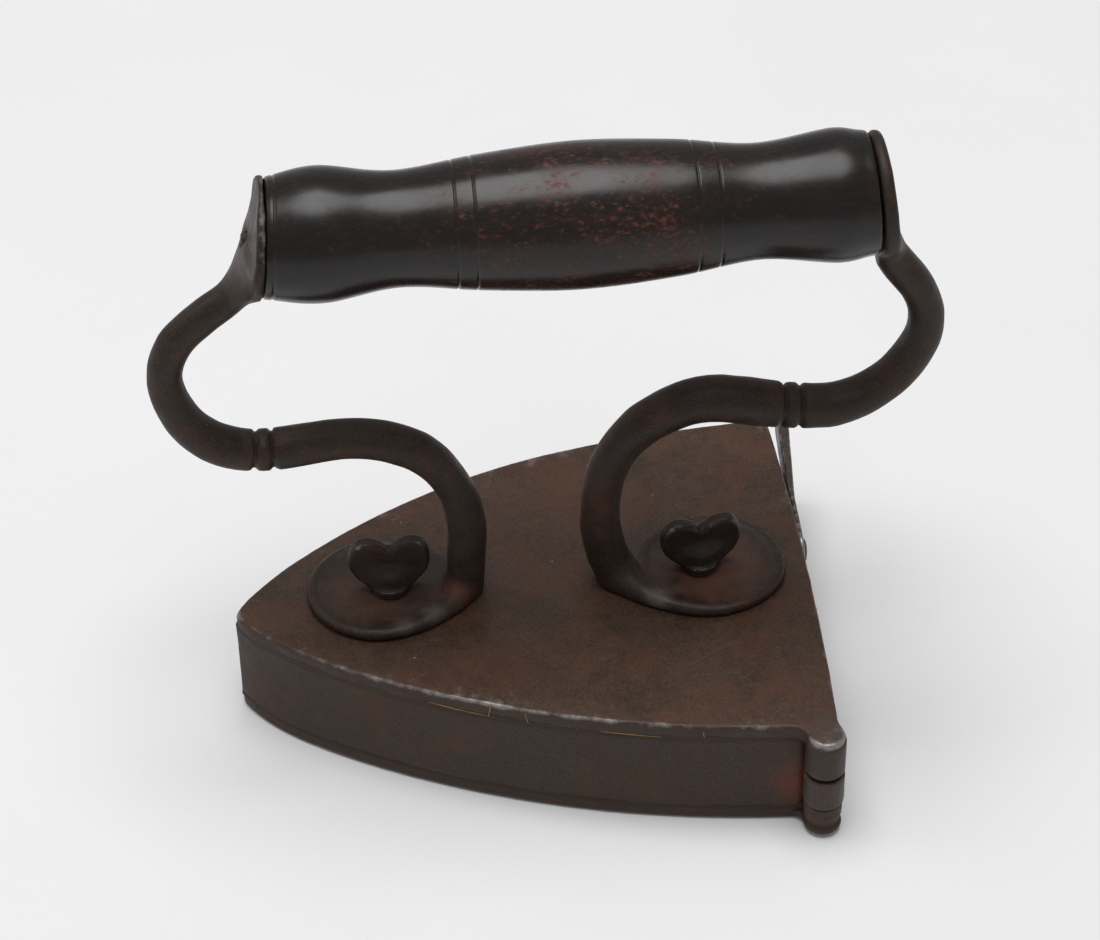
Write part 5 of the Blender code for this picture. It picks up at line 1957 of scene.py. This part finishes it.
@dataclass
class Grip:
    """The turned grip and the tang through it."""

    shop: Workshop
    front_x: float = -0.0495
    rear_x: float = 0.0755
    front_shift: float = -0.0012
    rear_shift: float = -0.0027
    front_lean: float = 0.10
    rear_lean: float = 0.065
    ramp: float = 0.0120
    rear_lift: float = 0.0010
    lift_from_x: float = -0.0300
    axis_z: float = 0.1262
    radius: float = 0.0150
    bore: float = 0.0035
    shares: tuple[tuple[float, float], ...] = (
        (0.000, 0.805), (0.012, 0.833), (0.085, 0.923), (0.205, 0.788), (0.345, 0.915), (0.500, 1.000),
        (0.655, 0.925), (0.790, 0.785), (0.915, 0.910), (0.980, 0.862), (1.000, 0.840))
    grooves: tuple[float, ...] = (0.014, 0.298, 0.329, 0.686, 0.722)
    groove_depth: float = 0.00020
    groove_width: float = 0.00022
    end_round: float = 0.00025
    tang_ends: tuple[float, float] = (-0.0551, 0.0762)
    tang_end_radius: float = 0.0013
    tang_rise: float = 0.0003
    shank_ends: tuple[float, float] = (-0.0500, 0.0722)
    shank_radius: float = 0.0028

    def build(self) -> None:
        """Builds and delivers the wood and the tang."""
        self.wood()
        self.tang()

    def wood(self) -> None:
        """The turned wood with its fine scribed lines."""
        length = self.rear_x - self.front_x
        line = smooth_line(self.shares, steps=24)
        spots = np.unique(np.concatenate([np.linspace(0.0, 1.0, 260), *(
            share + np.linspace(-2.4, 2.4, 13) * self.groove_width / length for share in self.grooves)]))
        radius = np.interp(spots, line[:, 0], line[:, 1]) * self.radius
        for share in self.grooves:
            radius -= self.groove_depth * np.exp(-((spots - share) * length / self.groove_width) ** 2)
        along = spots * length
        near_end = np.minimum(along, length - along)
        radius -= self.end_round * np.clip(1 - near_end / self.end_round, 0.0, 1.0) ** 2
        outer = list(zip(radius[::-1], along[::-1]))
        profile = [*outer, (self.bore, 0.0), (self.bore, length)]
        grip = lathe("turned_grip", profile, steps=144, place=along_x(self.front_x, 0.0, self.axis_z))
        reshape(grip, self.settle)
        forge_skin(grip, ((38.0, 0.00007),), seed=91)
        mark_wear(grip, reach=0.0012)
        self.shop.deliver(grip, Body.IRON, Slot.WOOD, "grip")

    def settle(self, points: Array) -> Array:
        """Leans both ends of the wood and lifts its rear a little, as on the worn handle.

        Args:
            points: Places, one to a row.

        Returns:
            The same points, moved.
        """
        up = points[:, 2] - self.axis_z
        front = np.clip((self.front_x + self.ramp - points[:, 0]) / self.ramp, 0.0, 1.0)
        rear = np.clip((points[:, 0] - self.rear_x + self.ramp) / self.ramp, 0.0, 1.0)
        points = self.lift(points)
        points[:, 0] += front * (self.front_shift + self.front_lean * up)
        points[:, 0] += rear * (self.rear_shift - self.rear_lean * up)
        return points

    def lift(self, points: Array) -> Array:
        """Lifts the handle a little towards its rear end.

        Args:
            points: Places, one to a row.

        Returns:
            The same points, moved.
        """
        share = np.clip((points[:, 0] - self.lift_from_x) / (self.rear_x - self.lift_from_x), 0.0, 1.0)
        points[:, 2] += self.rear_lift * share
        return points

    def tang(self) -> None:
        """The tang, whose thinner ends are peened over in the ears."""
        shank, end, rise = self.shank_radius, self.tang_end_radius, self.tang_rise
        (low_end, high_end), (low_shank, high_shank) = self.tang_ends, self.shank_ends
        head = dome(end, rise, steps=8)
        upper = [(radius, high_end - rise + height) for radius, height in head]
        lower = [(radius, low_end + rise - height) for radius, height in reversed(head)]
        profile = [*upper, (end, high_shank), (shank, high_shank), (shank, low_shank), (end, low_shank), *lower]
        tang = lathe("grip_tang_rod", profile, steps=36, place=along_x(0.0, 0.0, self.axis_z))
        reshape(tang, self.lift)
        forge_skin(tang, ((600.0, 0.00004),), seed=97)
        mark_wear(tang, reach=0.0005)
        self.shop.deliver(tang, Body.IRON, Slot.ROD, "grip_tang")


# Each mark of a path: x, z, radius and half width. Each mark of a lip: x, y, z and radius.
FRONT_PATH = (
    (-0.0128, 0.0270, 0.0041, 0.0044), (-0.0124, 0.0320, 0.0042, 0.0044), (-0.0121, 0.0379, 0.0042, 0.0043),
    (-0.0118, 0.0465, 0.0041, 0.0041), (-0.0139, 0.0568, 0.0040, 0.0040), (-0.0194, 0.0659, 0.0042, 0.0042),
    (-0.0275, 0.0710, 0.0044, 0.0044), (-0.0378, 0.0728, 0.0045, 0.0045), (-0.0540, 0.0714, 0.0045, 0.0045),
    (-0.0636, 0.0741, 0.0046, 0.0046), (-0.0700, 0.0809, 0.0042, 0.0042), (-0.0731, 0.0915, 0.0037, 0.0037),
    (-0.0704, 0.1009, 0.0036, 0.0036), (-0.0641, 0.1075, 0.0037, 0.0038), (-0.0584, 0.1120, 0.0035, 0.0042),
    (-0.0553, 0.1160, 0.0033, 0.0050), (-0.0536, 0.1200, 0.0028, 0.0060), (-0.0526, 0.1245, 0.0018, 0.0066))

REAR_PATH = (
    (0.0216, 0.0275, 0.0046, 0.0050), (0.0204, 0.0310, 0.0047, 0.0050), (0.0184, 0.0372, 0.0046, 0.0047),
    (0.0171, 0.0462, 0.0044, 0.0044), (0.0183, 0.0571, 0.0043, 0.0043), (0.0231, 0.0671, 0.0044, 0.0044),
    (0.0308, 0.0735, 0.0047, 0.0047), (0.0405, 0.0765, 0.0051, 0.0051), (0.0579, 0.0732, 0.0049, 0.0049),
    (0.0693, 0.0731, 0.0048, 0.0048), (0.0789, 0.0787, 0.0044, 0.0044), (0.0848, 0.0880, 0.0041, 0.0041),
    (0.0858, 0.0955, 0.0039, 0.0039), (0.0838, 0.1022, 0.0038, 0.0039), (0.0799, 0.1079, 0.0038, 0.0040),
    (0.0770, 0.1122, 0.0035, 0.0044), (0.0757, 0.1160, 0.0026, 0.0050), (0.0750, 0.1200, 0.0016, 0.0055))

FRONT_LIP = (
    (-0.0130, -0.0006, 0.0300, 0.0038), (-0.0152, -0.0046, 0.0290, 0.0029), (-0.0188, -0.0085, 0.0286, 0.0021),
    (-0.0234, -0.0115, 0.0286, 0.0018), (-0.0286, -0.0129, 0.0286, 0.0015), (-0.0340, -0.0129, 0.0285, 0.0011))

REAR_LIP = (
    (0.0212, -0.0012, 0.0300, 0.0044), (0.0236, -0.0046, 0.0291, 0.0034), (0.0270, -0.0081, 0.0287, 0.0026),
    (0.0313, -0.0110, 0.0285, 0.0020), (0.0366, -0.0133, 0.0284, 0.0016), (0.0428, -0.0140, 0.0283, 0.0011))


@dataclass(frozen=True)
class Lamp:
    """A round soft lamp: where it hangs, what it lights, how wide and how strong it is."""

    name: str
    place: tuple[float, float, float]
    aim: tuple[float, float, float]
    size: float
    watts: float


@dataclass(frozen=True)
class Studio:
    """The floor, the light and the photograph's camera."""

    width_px: int = 1100
    focal_px: float = 3400.0
    sensor_mm: float = 36.0
    position: tuple[float, float, float] = (-0.0448, -0.5535, 0.5286)
    azimuth_deg: float = -5.29
    elevation_deg: float = 40.13
    roll_deg: float = -0.8
    floor_colour: Colour = (0.86, 0.86, 0.865)
    floor_roughness: float = 0.85
    floor_gloss: float = 0.2
    world_colour: Colour = (1.0, 1.0, 1.01)
    lamp_colour: Colour = (1.0, 1.0, 1.003)
    world_strength: float = 0.34
    lamps: tuple[Lamp, ...] = (Lamp("overhead", (-0.03, 0.02, 1.50), (0.0, 0.0, 0.05), 1.15, 16.4),
                               Lamp("window", (-1.30, 0.35, 1.00), (0.0, 0.0, 0.08), 0.9, 2.4))

    def camera(self) -> None:
        """Places the camera that was fitted to the photograph."""
        data = bpy.data.cameras.new("camera")
        data.sensor_fit = "HORIZONTAL"
        data.sensor_width = self.sensor_mm
        data.lens = self.sensor_mm * self.focal_px / self.width_px
        data.clip_start = 0.01
        data.clip_end = 50.0
        item = bpy.data.objects.new("camera", data)
        azimuth, elevation = math.radians(self.azimuth_deg), math.radians(self.elevation_deg)
        back = Vector((math.sin(azimuth) * math.cos(elevation), -math.cos(azimuth) * math.cos(elevation),
                       math.sin(elevation)))
        turn = back.to_track_quat("Z", "Y").to_matrix().to_4x4()
        roll = Matrix.Rotation(math.radians(self.roll_deg), 4, "Z")
        item.matrix_world = Matrix.Translation(self.position) @ turn @ roll
        bpy.context.scene.collection.objects.link(item)
        bpy.context.scene.camera = item

    def floor(self) -> None:
        """A wide pale floor that curves up far behind the iron."""
        depth, rise, width, bend = 3.0, 2.4, 4.0, 0.8
        profile = [(-depth, 0.0), (depth - bend, 0.0)]
        profile += [(depth - bend + bend * math.sin(angle), bend * (1 - math.cos(angle)))
                    for angle in np.linspace(0, RIGHT_ANGLE, 13)[1:]]
        profile.append((depth, rise))
        points = [(x, y, z) for y, z in profile for x in (-width, width)]
        faces = [(row * 2, row * 2 + 1, row * 2 + 3, row * 2 + 2) for row in range(len(profile) - 1)]
        item = mesh_object("floor", np.array(points), faces)
        material, nodes, shader = new_material("floor_paper")
        place = nodes.place()
        tint = nodes.between(nodes.noise(place, 14.0, 3.0), 0.3, 0.7)
        shade = tuple(value * 0.985 for value in self.floor_colour)
        nodes.feed(shader, {
            "Base Color": nodes.mix(tint, self.floor_colour, shade),
            "Normal": nodes.bump(0.05, 0.0001, nodes.noise(place, 1800.0, 3.0, 0.6)),
            "Roughness": self.floor_roughness, "Specular IOR Level": self.floor_gloss})
        item.data.materials.append(material)
        item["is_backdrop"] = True

    def light(self) -> None:
        """A pale sky all round, a broad soft lamp overhead and a weaker one on the nose's side."""
        world = bpy.data.worlds.new("studio")
        world.use_nodes = True
        background = world.node_tree.nodes["Background"]
        background.inputs["Color"].default_value = (*self.world_colour, 1.0)
        background.inputs["Strength"].default_value = self.world_strength
        bpy.context.scene.world = world
        for lamp in self.lamps:
            data = bpy.data.lights.new(lamp.name, "AREA")
            data.shape, data.size, data.energy, data.color = "DISK", lamp.size, lamp.watts, self.lamp_colour
            item = bpy.data.objects.new(lamp.name, data)
            item.location = lamp.place
            direction = Vector(lamp.aim) - Vector(lamp.place)
            item.rotation_euler = direction.to_track_quat("-Z", "Y").to_euler()
            bpy.context.scene.collection.objects.link(item)

    def build(self) -> None:
        """Sets up the whole studio."""
        bpy.context.scene.view_settings.view_transform = "Standard"
        self.camera()
        self.floor()
        self.light()


def make_materials() -> dict[str, Material]:
    """Makes every finish once.

    Returns:
        The materials by name.
    """
    groups = EffectGroups()
    red = (0.150, 0.038, 0.014)
    disc = (0.100, 0.0440, 0.0270)
    rubbed = (0.145, 0.1230, 0.1020)
    # painted shadow: the near-black colour laid on the top plate round and under the foot discs
    painted_disc_shadow = (0.010, 0.0070, 0.0050)
    finishes = [
        # The top plate has painted shade on its upright faces.
        IronFinish(Slot.PLATE, (0.032, 0.0190, 0.0120), (0.080, 0.0430, 0.0255), rust_amount=0.55, wear=1.05,
                   gloss=0.32, specks=0.045, scratches=0.25, painted_side_shade=0.75,
                   stains=(Stain((0.0600, -0.0530, 0.0270), 0.0090, (0.058, 0.0400, 0.0320), 0.80),
                           # painted shadow round and under the two foot discs
                           Stain((-0.0311, 0.0009, 0.0276), 0.0220, painted_disc_shadow, 0.85),
                           Stain((0.0418, -0.0004, 0.0276), 0.0225, painted_disc_shadow, 0.85))),
        IronFinish(Slot.WALL, (0.024, 0.0150, 0.0102), (0.054, 0.0310, 0.0205), rust_amount=0.45, wear=0.60,
                   gloss=0.28, scratches=0.20,
                   stains=(Stain((0.0550, -0.0508, 0.0110), 0.0105, (0.125, 0.0360, 0.0135), 0.85),)),
        IronFinish(Slot.ROD, (0.0135, 0.0088, 0.0060), (0.039, 0.0225, 0.0145), rust_amount=0.35, wear=0.45,
                   scratches=0.05, gloss=0.30,
                   stains=(Stain((0.0420, -0.001, 0.0300), 0.0180, disc, 0.80),
                           Stain((-0.0320, -0.001, 0.0300), 0.0160, disc, 0.45),
                           Stain((-0.0150, -0.004, 0.0300), 0.0060, red, 0.45),
                           Stain((0.0290, -0.0100, 0.0305), 0.0050, rubbed, 0.50),
                           Stain((-0.0205, -0.0095, 0.0302), 0.0042, rubbed, 0.40),
                           Stain((-0.0270, -0.0125, 0.0300), 0.0038, rubbed, 0.35),
                           Stain((-0.0500, 0.0, 0.1200), 0.0150, (0.075, 0.0420, 0.0300), 0.75),
                           Stain((0.0745, 0.0, 0.1290), 0.0210, (0.0110, 0.0095, 0.0070), 0.95))),
        IronFinish(Slot.NUT, (0.0110, 0.0070, 0.0054), (0.027, 0.0145, 0.0110), rust_amount=0.25, wear=0.30,
                   scratches=0.05, gloss=0.28, rough=0.68),
        IronFinish(Slot.HINGE, (0.030, 0.0205, 0.0165), (0.062, 0.0430, 0.0340), rust_amount=0.40, wear=0.25,
                   gloss=0.34),
        IronFinish(Slot.LATCH, (0.024, 0.019, 0.015), (0.060, 0.048, 0.038), rust_amount=0.20, wear=0.35,
                   smooth=0.32, rough=0.50),
        IronFinish(Slot.SLUG, (0.022, 0.017, 0.015), (0.050, 0.036, 0.029), rust_amount=0.55, wear=0.20,
                   smooth=0.62, rough=0.85),
    ]
    materials = {finish.slot.value: finish.make(groups) for finish in finishes}
    materials[Slot.WOOD.value] = WoodFinish().make(groups)
    for seam in (SeamFinish(), SeamFinish(Brass.BRIGHT, shown=0.05)):
        materials[seam.look.value] = seam.make(groups)
    return materials


def dress_nodes(frame: dict, materials: dict[str, Material]) -> None:
    """Gives every CAD node the material of its slot.

    Args:
        frame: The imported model.
        materials: The materials by name.
    """
    slots = {part["node"]: part["material_slot"] for part in frame["record"]["subparts"]}
    for name, node in frame["nodes"].items():
        node.data.materials.clear()
        node.data.materials.append(materials[slots[name]])


def corners() -> list[list[float]]:
    """The shown object's lowest and highest corner as plain numbers."""
    return [[float(value) for value in corner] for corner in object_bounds()]


def main() -> None:
    """Builds the scene."""
    logging.basicConfig(level=logging.INFO, format="%(name)s: %(message)s")
    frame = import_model()
    materials = make_materials()
    dress_nodes(frame, materials)
    shop = Workshop(materials)
    IronBody(shop).build()
    HeelDoor(shop).build()
    LatchKeeper(shop).build()
    Post(shop, Side.FRONT, stud_x=-0.0290, grip_end_x=-0.0507, path=FRONT_PATH, seed=101,
         foot_middle=(-0.0311, 0.0009), foot_radii=(0.0160, 0.0158), lip=FRONT_LIP, ear_swell=0.0028, ear_rim=0.0014,
         ear_wedge=0.0006, ear_gap=0.00004, ear_round=0.0005, lean=0.10, axis_z=0.1262).build()
    Post(shop, Side.REAR, stud_x=0.0392, grip_end_x=0.0728, path=REAR_PATH, seed=131,
         foot_middle=(0.0418, 0.0004), foot_radii=(0.0163, 0.0156), lip=REAR_LIP, ear_swell=0.0004, ear_rim=0.0023,
         ear_wedge=0.0018, ear_gap=0.0004, ear_round=0.0010, lean=0.065, axis_z=0.1272).build()
    WingNut(shop, "front_wing_nut", Body.FRONT_NUT, x=-0.0290, turn_deg=0.0, seed=151).build()
    WingNut(shop, "rear_wing_nut", Body.REAR_NUT, x=0.0392, turn_deg=8.0, seed=157, height=0.0128).build()
    Grip(shop).build()
    Studio().build()
    log.info("%d pieces made", shop.made)


if __name__ == "__main__":
    main()
